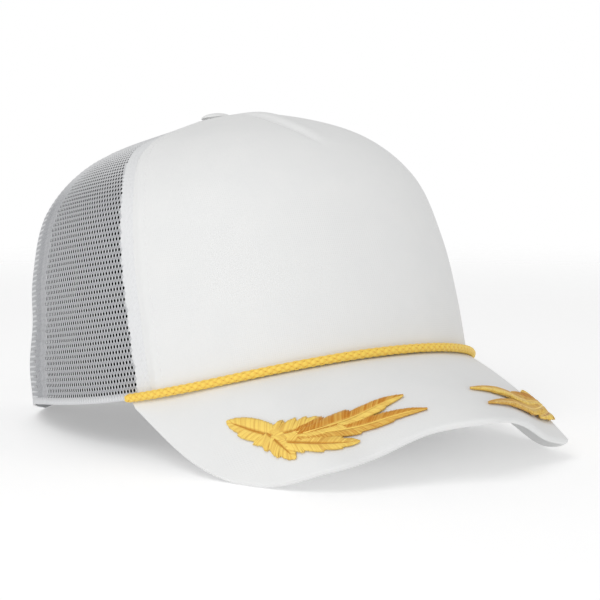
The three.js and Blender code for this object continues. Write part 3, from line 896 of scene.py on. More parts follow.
@dataclass(frozen=True)
class FrontPanel:
    """The foam-backed front: it dips to its seams, rolls up beside them and has a short dart."""

    columns: int = 130
    rows: int = 96
    crowding: float = 0.05
    cloth_angle: float = 30
    foam: float = 2.8
    gap: float = -0.3
    dip: float = 0.6
    swell: float = 1.0
    rise: float = 4.5
    settle: float = 25
    fade_from: float = 0.82
    fade_to: float = 0.95
    groove_at: float = 7.0
    groove_depth: float = 0.25
    groove_width: float = 1.8
    dart_from: float = 0.59
    dart_to: float = 0.985
    dart_aside: tuple[float, ...] = (4.5, 8.5, 12.0, 12.8, 10.8, 8.2, 5.6, 3.0, 1.0)
    dart_width: float = 1.5
    dart_depth: float = 1.6
    dart_round: float = 0.8
    dart_fade_from: float = 0.5
    dart_fade_over: float = 0.3
    puff: float = 1.5
    puff_aside: float = 5.5
    puff_spread: float = 4.5
    puff_fades: float = 0.6
    flat_left: float = 1.4
    flat_left_at: float = -48
    flat_left_spread: float = 24
    flat_left_top: float = 0.45
    stitches_from: float = 0.012
    stitches_to: float = 0.9
    stitch_path: int = 500

    def raised(self, angle: Array, level: Array) -> Array:
        """Height of the panel's face over the crown's form, in mm."""
        seam = CROWN.column("front_seam", level)
        from_seam = (seam - np.abs(angle)) * CROWN.arc_per_degree(seam, level)
        fade = 1 - smooth((level - self.fade_from) / (self.fade_to - self.fade_from))
        roll = smooth(from_seam / self.rise)
        swell = self.swell * fade * (roll - smooth((from_seam - self.rise) / self.settle))
        groove = self.groove_depth * fade * bell(from_seam - self.groove_at, self.groove_width)
        along = np.clip((level - self.dart_from) / (self.dart_to - self.dart_from), 0, 1)
        places = np.linspace(0, 1, len(self.dart_aside))
        aside = angle * CROWN.arc_per_degree(0.0, level) - np.interp(along, places, self.dart_aside)
        shut = 1 - smooth((along - self.dart_fade_from) / self.dart_fade_over)
        crease = self.dart_depth * bell(aside, self.dart_width) * shut
        puff = self.puff * bell(aside + self.puff_aside, self.puff_spread)
        puff = puff * (1 - self.puff_fades * along)
        dart = (puff - crease) * np.sin(np.pi * along) ** self.dart_round
        flat = self.flat_left * bell(angle - self.flat_left_at, self.flat_left_spread)
        flat = flat * (1 - smooth(level / self.flat_left_top))
        return swell - self.dip * (1 - roll) - groove + dart - flat

    def face(self, depth_at: DepthAt) -> tuple[Array, Array]:
        """Points over the panel, and their places on the cloth in mm.

        Args:
            depth_at: Depth under the crown's form, from angle and level.

        Returns:
            The points and the UVs.
        """
        over, up = grid_places(self.columns, self.rows)
        level = up * CROWN.panel_top
        seam = CROWN.column("front_seam", level)
        crowded = over - self.crowding * np.sin(2 * np.pi * over)
        angle = crowded * (seam - self.gap / CROWN.arc_per_degree(seam, level))
        points = CROWN.point(angle, level, depth_at(angle, level))
        across = angle * CROWN.arc_per_degree(self.cloth_angle, level)
        return points, np.stack([across, level * LEVEL_LENGTH], -1).reshape(-1, 2)

    def dress(self) -> None:
        """Builds the panel and the stitch rows beside its seams."""
        outer, uv = self.face(lambda angle, level: -self.raised(angle, level))
        inner, _ = self.face(lambda angle, level: np.full(angle.shape, self.foam))
        body = shell(outer, inner, grid_faces(self.columns, self.rows), uv)
        finishes = [FOAM_KNIT.material(), FOAM_INSIDE_PAINTED_SHADE.material()]
        panel = build_piece("front_panel_foam", body, finishes, ["front_panel"], "white_foam_cloth")
        rows = []
        for sign in (-1, 1):
            level = np.linspace(self.stitches_from, self.stitches_to, self.stitch_path)
            seam = CROWN.column("front_seam", level)
            angle = sign * (seam - self.groove_at / CROWN.arc_per_degree(seam, level))
            path = CROWN.point(angle, level, -self.raised(angle, level))
            rows.append(Stitches().row(path, CROWN.normal(angle, level)))
        sewing = [SEWING.material()]
        build_piece("front_panel_stitches", joined(rows), sewing, [], "white_foam_cloth")


# Directions from a hole's middle to the eight points of its rim, in degrees.
RIM_TURNS = (-128, -90, -52, 0, 52, 90, 128, 180)
# How far each of those points belongs to the pillars of yarn that stand beside the hole, and so how
# much of their painted highlight it takes.
RIM_BY_PILLAR = (0.4, 0, 0.4, 1, 0.4, 0, 0.4, 1)


@dataclass(frozen=True)
class NetPanel:
    """One net panel with real holes, cut from a flat lattice along the crown's levels, in mm.

    The first of two values is for the panel's front edge and the second for its back edge: how
    wide the net is closed there, how far the tape's shine reaches, and how strong that shine is.
    """

    name: str
    back: bool
    closed: tuple[float, float]
    tape_reach: tuple[float, float]
    tape_tone: tuple[float, float]
    row_pitch: float = 2.28
    hole_pitch: float = 1.8
    hole_half_width: float = 0.62
    hole_half_height: float = 0.76
    pin_share: float = 0.6
    rim_depth: float = 0.15
    dimple_depth: float = 0.25
    zigzag: float = 0.25
    thickness: float = 0.95
    knuckle: float = 0.12
    gap: float = -0.05
    seam_dip: float = 0.6
    seam_reach: float = 3.0
    hem: float = 2.4
    hem_tone: float = 0.62
    hem_soft: float = 1.2
    fold_at: float = 4.5
    fold_dip: float = 0.7
    fold_width: float = 1.8
    # Painted highlight on the pillars of yarn beside the holes.
    pillar: float = 0.9
    # Painted light towards the crown's top: where it starts, how far it takes to grow, and its
    # strength.
    pale_from: float = 80
    pale_over: float = 25
    pale: float = 0.75
    # Painted highlight on the hole rims beside the pillars.
    pillar_rim_highlight: float = 0.58
    floor_reach: float = 0.6
    floor_inside: float = 0.3
    sharp: float = 0.35
    opening_angle: float = 150
    opening_height: float = 56
    pucker_depth: float = 0.35
    pucker_pitch: float = 5.5
    pucker_reach: float = 14
    pucker_top: float = 22
    pucker_fade: float = 26
    climb_steps: int = 400
    fan_steps: int = 64
    spare_width: float = 1.15
    narrowest: float = 0.6

    def seams(self, level: Array) -> tuple[Array, Array]:
        """Angles of the panel's two seams at a level."""
        side = CROWN.column("side_seam", level)
        if self.back:
            return side, np.full(np.shape(level), BACK_CENTRE)
        return CROWN.column("front_seam", level), side

    def puckers(self, angle: Array, level: Array, rise: Array) -> Array:
        """Small ripples beside the side seam, low at the back, in mm inward."""
        seam = CROWN.column("side_seam", level)
        aside = np.abs(angle - seam) * CROWN.arc_per_degree(seam, level)
        ripple = self.pucker_depth * np.sin(2 * np.pi * rise / self.pucker_pitch)
        low = bell(np.maximum(rise - self.pucker_top, 0), self.pucker_fade)
        return ripple * bell(aside, self.pucker_reach) * low

    def from_seams(self, angle: Array, level: Array) -> tuple[Array, Array]:
        """Distances to the panel's first and second seam, in mm."""
        low, high = self.seams(level)
        from_low = (angle - low) * CROWN.arc_per_degree(low, level)
        return from_low, (high - angle) * CROWN.arc_per_degree(high, level)

    def surface(self, angle: Array, level: Array, depth: Array) -> Array:
        """Points of the net at a depth, flattened where the cap rests on them."""
        rise = CROWN.form(angle, level)[..., 2]
        beside = self.from_seams(angle, level)
        dip = sum(self.seam_dip * (1 - smooth(mm / self.seam_reach)) for mm in beside)
        if self.back:
            dip = dip + self.fold_dip * bell(beside[0] - self.fold_at, self.fold_width)
        points = CROWN.point(angle, level, depth + dip + self.puckers(angle, level, rise))
        floor = CROWN.floor_at(points[..., 1])
        clear = points[..., 2] - floor
        squeezed = self.floor_reach * np.exp(np.minimum(clear / self.floor_reach - 1, 0))
        squeezed = squeezed * np.where(depth > 0, self.floor_inside, 1.0)
        points[..., 2] = np.where(clear < self.floor_reach, floor + squeezed, points[..., 2])
        return points

    def up_the_middle(self) -> tuple[Array, Array]:
        """Levels of the panel, and the millimetres up its middle to each."""
        levels = np.linspace(0, CROWN.panel_top, self.climb_steps + 1)
        low, high = self.seams(levels)
        return levels, distance_along(CROWN.form((low + high) / 2, levels))

    def flat_to_crown(self, x: Array, row_y: Array) -> tuple[Array, Array]:
        """Turns flat places on the net into angle and level, held inside the panel's seams.

        Args:
            x: Millimetres along the rows from the panel's middle.
            row_y: Millimetres up from the bottom edge, one for each row.

        Returns:
            Angle and level of every place.
        """
        levels, climb = self.up_the_middle()
        level = np.interp(row_y, climb, levels)
        low, high = self.seams(level)
        first = low + self.gap / CROWN.arc_per_degree(low, level)
        last = high - self.gap / CROWN.arc_per_degree(high, level)
        share = np.linspace(0, 1, self.fan_steps + 1)
        fan = mix(first[:, None], last[:, None], share[None, :])
        reach = distance_along(CROWN.form(fan, level[:, None]))
        reach -= reach[:, -1:] / 2
        angle = np.stack([np.interp(x, reach[k], fan[k]) for k in range(len(level))])
        return angle, np.broadcast_to(level[:, None], angle.shape)

    def out_of_opening(self, angle: Array, level: Array) -> tuple[Array, Array, Array]:
        """Moves places that lie in the half-moon opening out to its edge.

        Args:
            angle: Angle of every place.
            level: Level of every place.

        Returns:
            Angle, level, and whether each place was in the opening.
        """
        rise = CROWN.column("rise", level)
        across = (BACK_CENTRE - angle) / (BACK_CENTRE - self.opening_angle)
        up = rise / self.opening_height
        size = np.sqrt(across**2 + up**2)
        inside = size < 1
        grow = np.where(inside, 1 / np.maximum(size, 1e-6), 1)
        moved_angle = BACK_CENTRE - (BACK_CENTRE - angle) * grow
        moved_level = np.where(inside, CROWN.level_at(rise * grow), level)
        return np.where(inside, moved_angle, angle), moved_level, inside

    def lattice(self) -> Build:
        """Cuts the net: a ring of yarn round every hole, and closed cells along the edges."""
        levels, climb = self.up_the_middle()
        length = float(climb[-1])
        low, high = self.seams(levels)
        widths = (high - low) * CROWN.arc_per_degree((low + high) / 2, levels)
        rows = int(length / self.row_pitch)
        across = 2 * int(float(widths.max()) * self.spare_width / self.hole_pitch / 2 + 2)
        k = np.arange(-across, across + 1)
        x = k * self.hole_pitch / 2
        line = np.arange(rows + 1)[:, None]
        swing = np.where((k + line) % 2 == 0, -self.zigzag, self.zigzag)
        swing = swing * ((line > 0) & (line < rows))
        zig_y = line * self.row_pitch + swing
        zig_angle, zig_level = np.zeros_like(zig_y), np.zeros_like(zig_y)
        for shift in (-self.zigzag, 0.0, self.zigzag):
            heights = np.clip(line[:, 0] * self.row_pitch + shift, 0, length)
            angle, level = self.flat_to_crown(x, heights)
            here = np.isclose(swing, shift)
            zig_angle[here], zig_level[here] = angle[here], level[here]
        side_y = (np.arange(rows) + 0.5) * self.row_pitch
        side_angle, side_level = self.flat_to_crown(x, side_y)
        angle = np.concatenate([zig_angle.ravel(), side_angle.ravel()])
        level = np.concatenate([zig_level.ravel(), side_level.ravel()])
        pillar = np.concatenate([np.zeros(zig_y.size), np.ones(side_angle.size)])
        flat_y = np.concatenate([zig_y.ravel(), np.repeat(side_y, len(k))])
        flat = np.stack([np.tile(x, 2 * rows + 1), flat_y], -1)
        cut_out = np.zeros(len(angle), bool)
        if self.back:
            angle, level, cut_out = self.out_of_opening(angle, level)
        ring = self.rings(rows, len(k))
        spread = np.ptp(angle[ring], axis=1)
        tall = np.ptp(level[ring], axis=1)
        keep = (spread > 1e-3) & (tall > 1e-6) & ~cut_out[ring].all(axis=1)
        has_hole = self.has_hole(ring, angle, level) & ~cut_out[ring].any(axis=1)
        return self.weave(ring[keep], angle, level, pillar, flat, has_hole[keep])

    def rings(self, rows: int, columns: int) -> Array:
        """The eight lattice points round every cell. Every second row lies half a cell over."""
        cells = []
        for row in range(rows):
            centre = np.arange(2 + row % 2, columns - 2, 2)
            lower = row * columns + centre
            upper = lower + columns
            beside = (rows + 1 + row) * columns + centre
            right = [lower - 1, lower, lower + 1, beside + 1]
            cells.append(np.stack([*right, upper + 1, upper, upper - 1, beside - 1], -1))
        return np.concatenate(cells)

    def has_hole(self, ring: Array, angle: Array, level: Array) -> Array:
        """Whether each cell is wide enough for a hole, and clear of the seams and the hem."""
        first, last = ring[:, 3], ring[:, 7]
        width = CROWN.form(angle[first], level[first]) - CROWN.form(angle[last], level[last])
        wide = np.linalg.norm(width, axis=-1) > self.hole_pitch * self.narrowest
        angle, level = angle[ring].mean(axis=1), level[ring].mean(axis=1)
        near_low, near_high = self.from_seams(angle, level)
        clear = (near_low > self.closed[0]) & (near_high > self.closed[1])
        return wide & clear & (CROWN.column("rise", level) > self.hem)

    def lightness(self, angle: Array, level: Array) -> Array:
        """How far tape, hem and painted light towards the crown's top lighten the net: 0 in the open
        net, 1 over white tape.
        """
        rise = CROWN.column("rise", level)
        hem = self.hem_tone * (1 - smooth((rise - self.hem) / self.hem_soft + 0.5))
        painted_top_light = self.pale * smooth((rise - self.pale_from) / self.pale_over)
        light = np.maximum(hem, painted_top_light)
        beside = self.from_seams(angle, level)
        for distance, reach, tone in zip(beside, self.tape_reach, self.tape_tone):
            over_tape = tone * (1 - smooth((distance - reach) / self.sharp + 0.5))
            light = np.maximum(light, over_tape)
        return light

    def weave(
        self,
        ring: Array,
        angle: Array,
        level: Array,
        pillar: Array,
        flat: Array,
        has_hole: Array,
    ) -> Build:
        """Builds the yarn of every cell: a pale face round the hole, and a back inside it in painted
        shade.

        Args:
            ring: The eight lattice points round each cell.
            angle: Angle of every lattice point.
            level: Level of every lattice point.
            pillar: 1 at the lattice points beside the holes, where the yarn stands proud, or 0.
            flat: Flat places of the lattice points, for the yarn's pattern.
            has_hole: Whether a cell has a hole right through it.

        Returns:
            The net as one body.
        """
        used, ring = np.unique(ring, return_inverse=True)
        ring = ring.reshape(-1, 8)
        angle, level, pillar, flat = angle[used], level[used], pillar[used], flat[used]
        count, cells = len(used), len(ring)
        outer = self.surface(angle, level, -self.knuckle * pillar)
        inner = self.surface(angle, level, np.full(count, self.thickness))
        face, back = outer[ring].mean(axis=1), inner[ring].mean(axis=1)
        oval, shape = self.ovals(outer[ring])
        rim = mix(face, back, self.rim_depth)[:, None] + oval
        pin = back[:, None] + oval[:, ::2] * self.pin_share
        dimple = mix(face, back, self.dimple_depth)
        rim_at = 2 * count + np.arange(cells * 8).reshape(cells, 8)
        pin_at = 2 * count + cells * 8 + np.arange(cells * 4).reshape(cells, 4)
        ahead = np.roll(ring, -1, axis=1), np.roll(rim_at, -1, axis=1)
        yarn = np.stack([ring, *ahead, rim_at], -1).reshape(-1, 4)
        opened, closed = has_hole.nonzero()[0], (~has_hole).nonzero()[0]
        funnel, funnel_corners = self.narrowing(rim_at[opened], pin_at[opened], False)
        rear, rear_corners = self.narrowing(ring[opened] + count, pin_at[opened], True)
        floor_at = 2 * count + cells * 12 + np.arange(len(closed))
        floors = self.fan(rim_at[closed], floor_at, False)
        backs = self.fan(ring[closed] + count, floor_at + len(closed), True)
        walls = walls_round(ring, count)
        points = [outer, inner, rim.reshape(-1, 3), pin.reshape(-1, 3), dimple[closed]]
        points.append(back[closed])
        flat_cell = flat[ring].mean(axis=1)
        rim_uv = flat_cell[:, None] + shape[None]
        pin_uv = flat_cell[:, None] + shape[None, ::2] * self.pin_share
        uv = [flat, flat, rim_uv.reshape(-1, 2), pin_uv.reshape(-1, 2)]
        uv += [flat_cell[closed], flat_cell[closed]]
        faces = [yarn, funnel, funnel_corners, floors, rear, rear_corners, backs, walls]
        slots = [0, 1, 1, 0, 1, 1, 1, 0]
        tone = self.tones(ring, angle, level, pillar, closed)
        return facing_out(Build(np.concatenate(points), faces, np.concatenate(uv), tone, slots))

    def ovals(self, corner: Array) -> tuple[Array, Array]:
        """The rim of each hole round its middle, fitted to its cell.

        Args:
            corner: The eight points round each cell.

        Returns:
            The rims' points, and the same for a flat cell of full size.
        """
        east = corner[:, 3] - corner[:, 7]
        north = corner[:, 4:7].mean(axis=1) - corner[:, 0:3].mean(axis=1)
        turn = np.radians(np.array(RIM_TURNS))
        shape = np.stack([np.cos(turn), np.sin(turn)], -1)
        shape = shape * np.array([self.hole_half_width, self.hole_half_height])
        oval = np.zeros((len(corner), len(turn), 3))
        for way, pitch, part in ((east, self.hole_pitch, 0), (north, self.row_pitch, 1)):
            fit = np.minimum(np.linalg.norm(way, axis=-1) / pitch, 1.0)[:, None, None]
            oval += unit(way)[:, None] * shape[None, :, part, None] * fit
        return oval, shape

    def tones(
        self, ring: Array, angle: Array, level: Array, pillar: Array, closed: Array
    ) -> Array:
        """Tone of every point of the net: lighter over tapes and in the hem, with painted light
        towards the crown's top and a painted highlight along the pillars.

        Args:
            ring: The eight lattice points round each cell.
            angle: Angle of every lattice point.
            level: Level of every lattice point.
            pillar: 1 at the lattice points beside the holes, or 0.
            closed: Numbers of the cells without a hole.

        Returns:
            The tones, in the order of the net's points.
        """
        light = self.lightness(angle, level)
        hemmed = np.maximum(light, 1 - smooth(CROWN.column("rise", level) / self.hem - 1))
        holes = np.ones(len(angle))
        for distance, width in zip(self.from_seams(angle, level), self.closed):
            holes = holes * smooth((distance - width) / self.hole_pitch + 0.5)
        # A painted highlight along the pillars, wherever the net has holes.
        face = np.maximum(light, self.pillar * pillar * holes)
        beside_hole = self.pillar_rim_highlight * np.array(RIM_BY_PILLAR) * holes[ring]
        rim = np.maximum(light[ring], beside_hole)
        floor, back = light[ring].mean(axis=1), hemmed[ring].mean(axis=1)
        tones = [face, hemmed, rim.ravel(), light[ring][:, ::2].ravel(), floor[closed]]
        return np.concatenate([*tones, back[closed]])

    def narrowing(self, ring: Array, pin: Array, reverse: bool) -> tuple[Array, Array]:
        """Faces between rings of eight points and rings of four.

        Args:
            ring: The eight points of each cell.
            pin: The four points of each cell, beside every second of the eight.
            reverse: Whether the faces look the other way.

        Returns:
            The triangles on the odd points, and the quads between.
        """
        after = np.roll(pin, -1, axis=1)
        first, second = ring[:, ::2], ring[:, 1::2]
        third = np.roll(first, -1, axis=1)
        triangles = np.stack([first, second, pin], -1).reshape(-1, 3)
        quads = np.stack([second, third, after, pin], -1).reshape(-1, 4)
        if reverse:
            return triangles[:, ::-1], quads[:, ::-1]
        return triangles, quads

    def fan(self, ring: Array, middle: Array, reverse: bool) -> Array:
        """Triangles from each ring of points to its middle."""
        beside = np.roll(ring, -1, axis=1)
        corners = [beside, ring] if reverse else [ring, beside]
        middles = np.broadcast_to(middle[:, None], ring.shape)
        return np.stack([*corners, middles], -1).reshape(-1, 3)

    def dress(self) -> None:
        """Builds the panel on both sides of the cap."""
        net = self.lattice()
        finishes = [NET.material(), NET_BACK_PAINTED_SHADE.material()]
        for side in Side:
            piece = f"{self.name}_{side.word}"
            build_piece(f"{piece}_net", net, finishes, [piece], "grey_net", side, 75)


SIDE_NET = NetPanel("side_mesh", False, (6.6, 4.2), (6.6, 5.2), (0.88, 0.12))
BACK_NET = NetPanel("back_mesh", True, (12.0, 3.0), (5.2, 5.2), (0.12, 0.3))


@dataclass(frozen=True)
class SeamTapes:
    """The woven tapes inside the seams, each sewn down along both edges, in mm."""

    half_width: float = 6.5
    thickness: float = 0.6
    net_depth: float = 1.15
    foam_depth: float = 3.25
    step_from: float = -1.0
    step_width: float = 4.0
    columns: int = 10
    rows: int = 90
    top: float = 0.905
    back_bottom: float = 0.418

    def strip(self, seam_at: Callable[[Array], Array], bottom: float, front: bool) -> Build:
        """One tape along a seam.

        Args:
            seam_at: The seam's angle at a level.
            bottom: Level of the tape's lower end.
            front: Whether the foam lies under one half of it.

        Returns:
            The tape as a closed body.
        """
        over, up = grid_places(self.columns, self.rows)
        level = mix(bottom, self.top, up)
        aside = over * self.half_width
        seam = seam_at(level)
        angle = seam + aside / CROWN.arc_per_degree(seam, level)
        depth = np.full(over.shape, self.net_depth)
        if front:
            off_foam = smooth((aside - self.step_from) / self.step_width)
            depth = mix(self.foam_depth, self.net_depth, off_foam)
        outer = CROWN.point(angle, level, depth)
        inner = CROWN.point(angle, level, depth + self.thickness)
        uv = np.stack([level * LEVEL_LENGTH, aside], -1).reshape(-1, 2)
        return shell(outer, inner, grid_faces(self.columns, self.rows), uv)

    def dress(self) -> None:
        """Builds the tapes of the front, side and back seams."""
        finish = [TAPE_WEAVE.material()]
        for seam in ("front_seam", "side_seam"):
            seam_at = partial(CROWN.column, seam)
            tape = self.strip(seam_at, 0.0, seam == "front_seam")
            for side in Side:
                node = f"{seam}_{side.word}"
                build_piece(f"{node}_tape", tape, finish, [node], "seam_tape", side)
        tape = self.strip(partial(np.full_like, fill_value=BACK_CENTRE), self.back_bottom, False)
        build_piece("back_seam_tape", tape, finish, ["back_seam"], "seam_tape")


@dataclass(frozen=True)
class PeakEdge:
    """A place on the peak's outer edge: across, forward, and below the crown's edge, in mm."""

    across: float
    forward: float
    below: float


@dataclass(frozen=True)
class Peak:
    """The curved peak: one board covered above and below, with a round rim."""

    edge: tuple[PeakEdge, ...] = (
        PeakEdge(0, 161.5, 13.9),
        PeakEdge(22, 152.5, 16.1),
        PeakEdge(41, 144.3, 23),
        PeakEdge(57, 137.3, 26.7),
        PeakEdge(69.5, 113.3, 31.5),
        PeakEdge(79.3, 84, 23.4),
    )
    root_angle: float = 71
    droop: float = 2.4
    droop_at: float = -0.38
    droop_spread: float = 0.26
    droop_out: float = 0.6
    droop_to: float = -0.55
    droop_fade: float = 0.13
    centre_soft: float = 0.06
    end: float = 0.972
    thickness: float = 2.8
    bulge: float = 2.4
    bulge_skew: float = 0.8
    bulge_round: float = 0.7
    lip: float = 4
    gap: float = 0.4
    step: float = 0.01
    stations: int = 150
    rings: int = 36
    rim_steps: int = 10
    cloth_width: float = 100

    def edge_column(self, name: str, place: Array) -> Array:
        """Reads one column of the edge table at a place from -1 to 1."""
        corner = CROWN.form(np.array(self.root_angle), np.array(0.0))
        end = {"across": -corner[0], "forward": -corner[1], "below": -corner[2]}[name]
        values = [*[getattr(row, name) for row in self.edge], end]
        before = -values[1] if name == "across" else values[1]
        rows = np.array([before, *values, 2 * values[-1] - values[-2]], float)
        return along_rows(rows, np.abs(place))

    def edge_point(self, place: Array) -> Array:
        """Points on the outer edge."""
        across = np.sign(place) * self.edge_column("across", place)
        droop = self.droop * bell(place - self.droop_at, self.droop_spread)
        droop = droop * (1 - smooth((self.droop_to - place) / self.droop_fade))
        forward = self.edge_column("forward", place) + self.droop_out * droop
        return np.stack([-across, -forward, -self.edge_column("below", place) - droop], -1)

    def root(self, place: Array, depth: float = 0.0) -> Array:
        """Points where the peak leaves the crown."""
        point = CROWN.point(self.root_angle * place, np.zeros(np.shape(place)), depth)
        point[..., 2] -= self.gap
        return point

    def top(self, place: Array, reach: Array) -> Array:
        """Points on the upper face, from the crown (reach 0) to the outer edge (reach 1)."""
        place, reach = np.broadcast_arrays(np.asarray(place, float), np.asarray(reach, float))
        lean = np.radians(self.root_angle * place)
        aside = np.minimum(np.hypot(place, self.centre_soft), 1)
        swing = np.maximum(np.sin(np.pi * aside**self.bulge_skew), 0) ** self.bulge_round
        swell = 4 * self.bulge * reach * (1 - reach) * swing
        points = mix(self.root(place), self.edge_point(place), reach[..., None])
        return points + np.stack([-np.sin(lean) * swell, 0 * swell, np.cos(lean) * swell], -1)

    def axes(self, place: Array, reach: Array) -> tuple[Array, Array, Array]:
        """Directions across, outward and up on the upper face."""
        across = unit(self.top(place + self.step, reach) - self.top(place - self.step, reach))
        out = unit(self.top(place, reach + self.step) - self.top(place, reach - self.step))
        up = unit(np.cross(across, out))
        up = np.where(up[..., 2:] < 0, -up, up)
        return across, out, up

    def section(self, place: Array) -> tuple[Array, Array]:
        """Outline of the peak's section at each place: lip, upper face, round rim, lower face.

        Args:
            place: Places from side to side, -1 to 1.

        Returns:
            The section's points for each place, and their distance round it in mm.
        """
        place = place[:, None]
        length = np.linalg.norm(self.root(place) - self.edge_point(place), axis=-1)
        rim = self.thickness / 2
        last = 1 - rim / length
        reaches = np.linspace(0, 1, self.rings)[None, :] * last
        places = np.broadcast_to(place, reaches.shape)
        upper = self.top(places, reaches)
        _, _, up_all = self.axes(places, np.maximum(reaches, self.step))
        lower = upper - up_all * self.thickness
        _, out, up = self.axes(place, last)
        centre = upper[:, -1:] - up * rim
        turn = np.radians(np.linspace(0, 180, self.rim_steps + 1)[1:-1])[None, :, None]
        round_rim = centre + up * rim * np.cos(turn) + out * rim * np.sin(turn)
        lip = self.root(place, self.lip)
        lip_under = lip.copy()
        lip_under[..., 2] -= self.thickness - self.gap
        points = np.concatenate([lip, upper, round_rim, lower[:, ::-1], lip_under], axis=1)
        return points, distance_along(points)

    def dress(self) -> None:
        """Builds the covered peak."""
        place = np.linspace(-self.end, self.end, self.stations + 1)
        points, round_it = self.section(place)
        across = np.broadcast_to(place[:, None] * self.cloth_width, round_it.shape)
        body = swept(points, np.stack([across, round_it], -1).reshape(-1, 2))
        build_piece("peak_cover", body, [PEAK_TWILL.material()], ["peak"], "white_cloth")


PEAK = Peak()


@dataclass(frozen=True)
class RopeTrim:
    """Round braided cord along the joint of crown and peak: eight strands over a core, in mm."""

    radius: float = 1.8
    end_angle: float = 70.4
    clear: float = 0.05
    pressed: tuple[float, float] = (0.6, 3.0)
    pressed_from: float = 15
    root_reach: float = 0.03
    strands: int = 4
    lay: float = 13.0
    strand_width: float = 0.8
    strand_height: float = 0.36
    weave: float = 0.15
    strand_sides: int = 6
    groove_painted_shade: float = 0.45
    core: float = 1.1
    core_sides: int = 12
    step: float = 0.6
    end_taper: float = 2.5
    end_share: float = 0.25
    rough_points: int = 400
    smoothed: int = 25

    def centre(self, angle: Array) -> Array:
        """Middle of the cord: it touches neither the crown's wall nor the peak."""
        place = np.clip(angle / PEAK.root_angle, -PEAK.end, PEAK.end)
        wall = CROWN.normal(angle, np.zeros(angle.shape))
        _, _, up = PEAK.axes(place, np.full(angle.shape, self.root_reach))
        last_part = (np.abs(angle) - self.pressed_from) / (self.end_angle - self.pressed_from)
        pressed = np.where(angle > 0, *self.pressed) * smooth(last_part)
        raised = np.maximum(FrontPanel().raised(angle, np.zeros(angle.shape)), 0) - pressed
        away = (self.radius + self.clear) / (1 + (wall * up).sum(-1))
        return CROWN.point(angle, np.zeros(angle.shape), -raised) + (wall + up) * away[:, None]

    def path(self) -> tuple[Array, Array]:
        """Evenly spaced middle points of the cord, and the distance along it at each."""
        rough = self.centre(np.linspace(-self.end_angle, self.end_angle, self.rough_points))
        half = self.smoothed // 2
        before, after = 2 * rough[0] - rough[half:0:-1], 2 * rough[-1] - rough[-2 : -half - 2 : -1]
        padded = np.concatenate([before, rough, after])
        kernel = np.ones(self.smoothed) / self.smoothed
        soft = np.stack([np.convolve(padded[:, k], kernel, mode="valid") for k in range(3)], -1)
        reach = distance_along(soft)
        along = np.linspace(0, reach[-1], int(reach[-1] / self.step))
        return points_at(along, reach, soft), along

    def dress(self) -> None:
        """Builds the strands, which pass over and under each other, and the core they lie on."""
        middle, along = self.path()
        forward = unit(np.gradient(middle, axis=0))
        up = unit(np.array([0.0, 0.0, 1.0]) - forward * forward[:, 2:])
        side = np.cross(forward, up)
        rate = 2 * np.pi / self.lay
        to_end = np.minimum(along, along[-1] - along)
        rounded = np.sqrt(1 - (1 - np.clip(to_end / self.end_taper, 0, 1)) ** 2)
        shrink = mix(self.end_share, 1, rounded)
        paths, ups, tones = [], [], []
        for sense in (1, -1):
            over = sense * np.cos(self.strands * rate * along)
            reach = self.radius - self.strand_height - self.weave + self.weave * over
            for strand in range(self.strands):
                turn = sense * rate * along + 2 * np.pi * strand / self.strands
                outward = side * np.cos(turn)[:, None] + up * np.sin(turn)[:, None]
                paths.append(middle + outward * (reach * shrink)[:, None])
                ups.append(outward)
                # Painted shade where a strand dips under the others, in the braid's grooves.
                tones.append(np.repeat(self.groove_painted_shade * (1 - over), self.strand_sides))
        size = self.strand_width, self.strand_height, self.strand_sides
        braid = tubes(np.array(paths), np.array(ups), *size, shrink)
        braid.tone = np.concatenate(tones)
        core = tubes(middle[None], up[None], self.core, self.core, self.core_sides, shrink)
        # The core shows only in the gaps between strands: painted in full shade.
        core.tone = np.ones(len(core.points))
        finish = [BRAID.material()]
        build_piece("front_rope_braid", joined([braid, core]), finish, ["front_rope"], "gold_cord")


@dataclass(frozen=True)
class Leaf:
    """One leaf: its stalk and tip on the peak, and the width, teeth and tone of each half.

    The first half looks towards the crown and the second towards the peak's edge. A tone is painted
    light and shade, from 0, painted light, to 1, painted shade.
    """

    angle: float
    reach: float
    tip_angle: float
    tip_reach: float
    bow: float
    widths: tuple[float, float]
    teeth: tuple[int, int]
    tones: tuple[float, float]
    vein: float
    base: float


# The random draws of a leaf's threads start from this seed, plus the leaf's number.
FIRST_SEED = 11


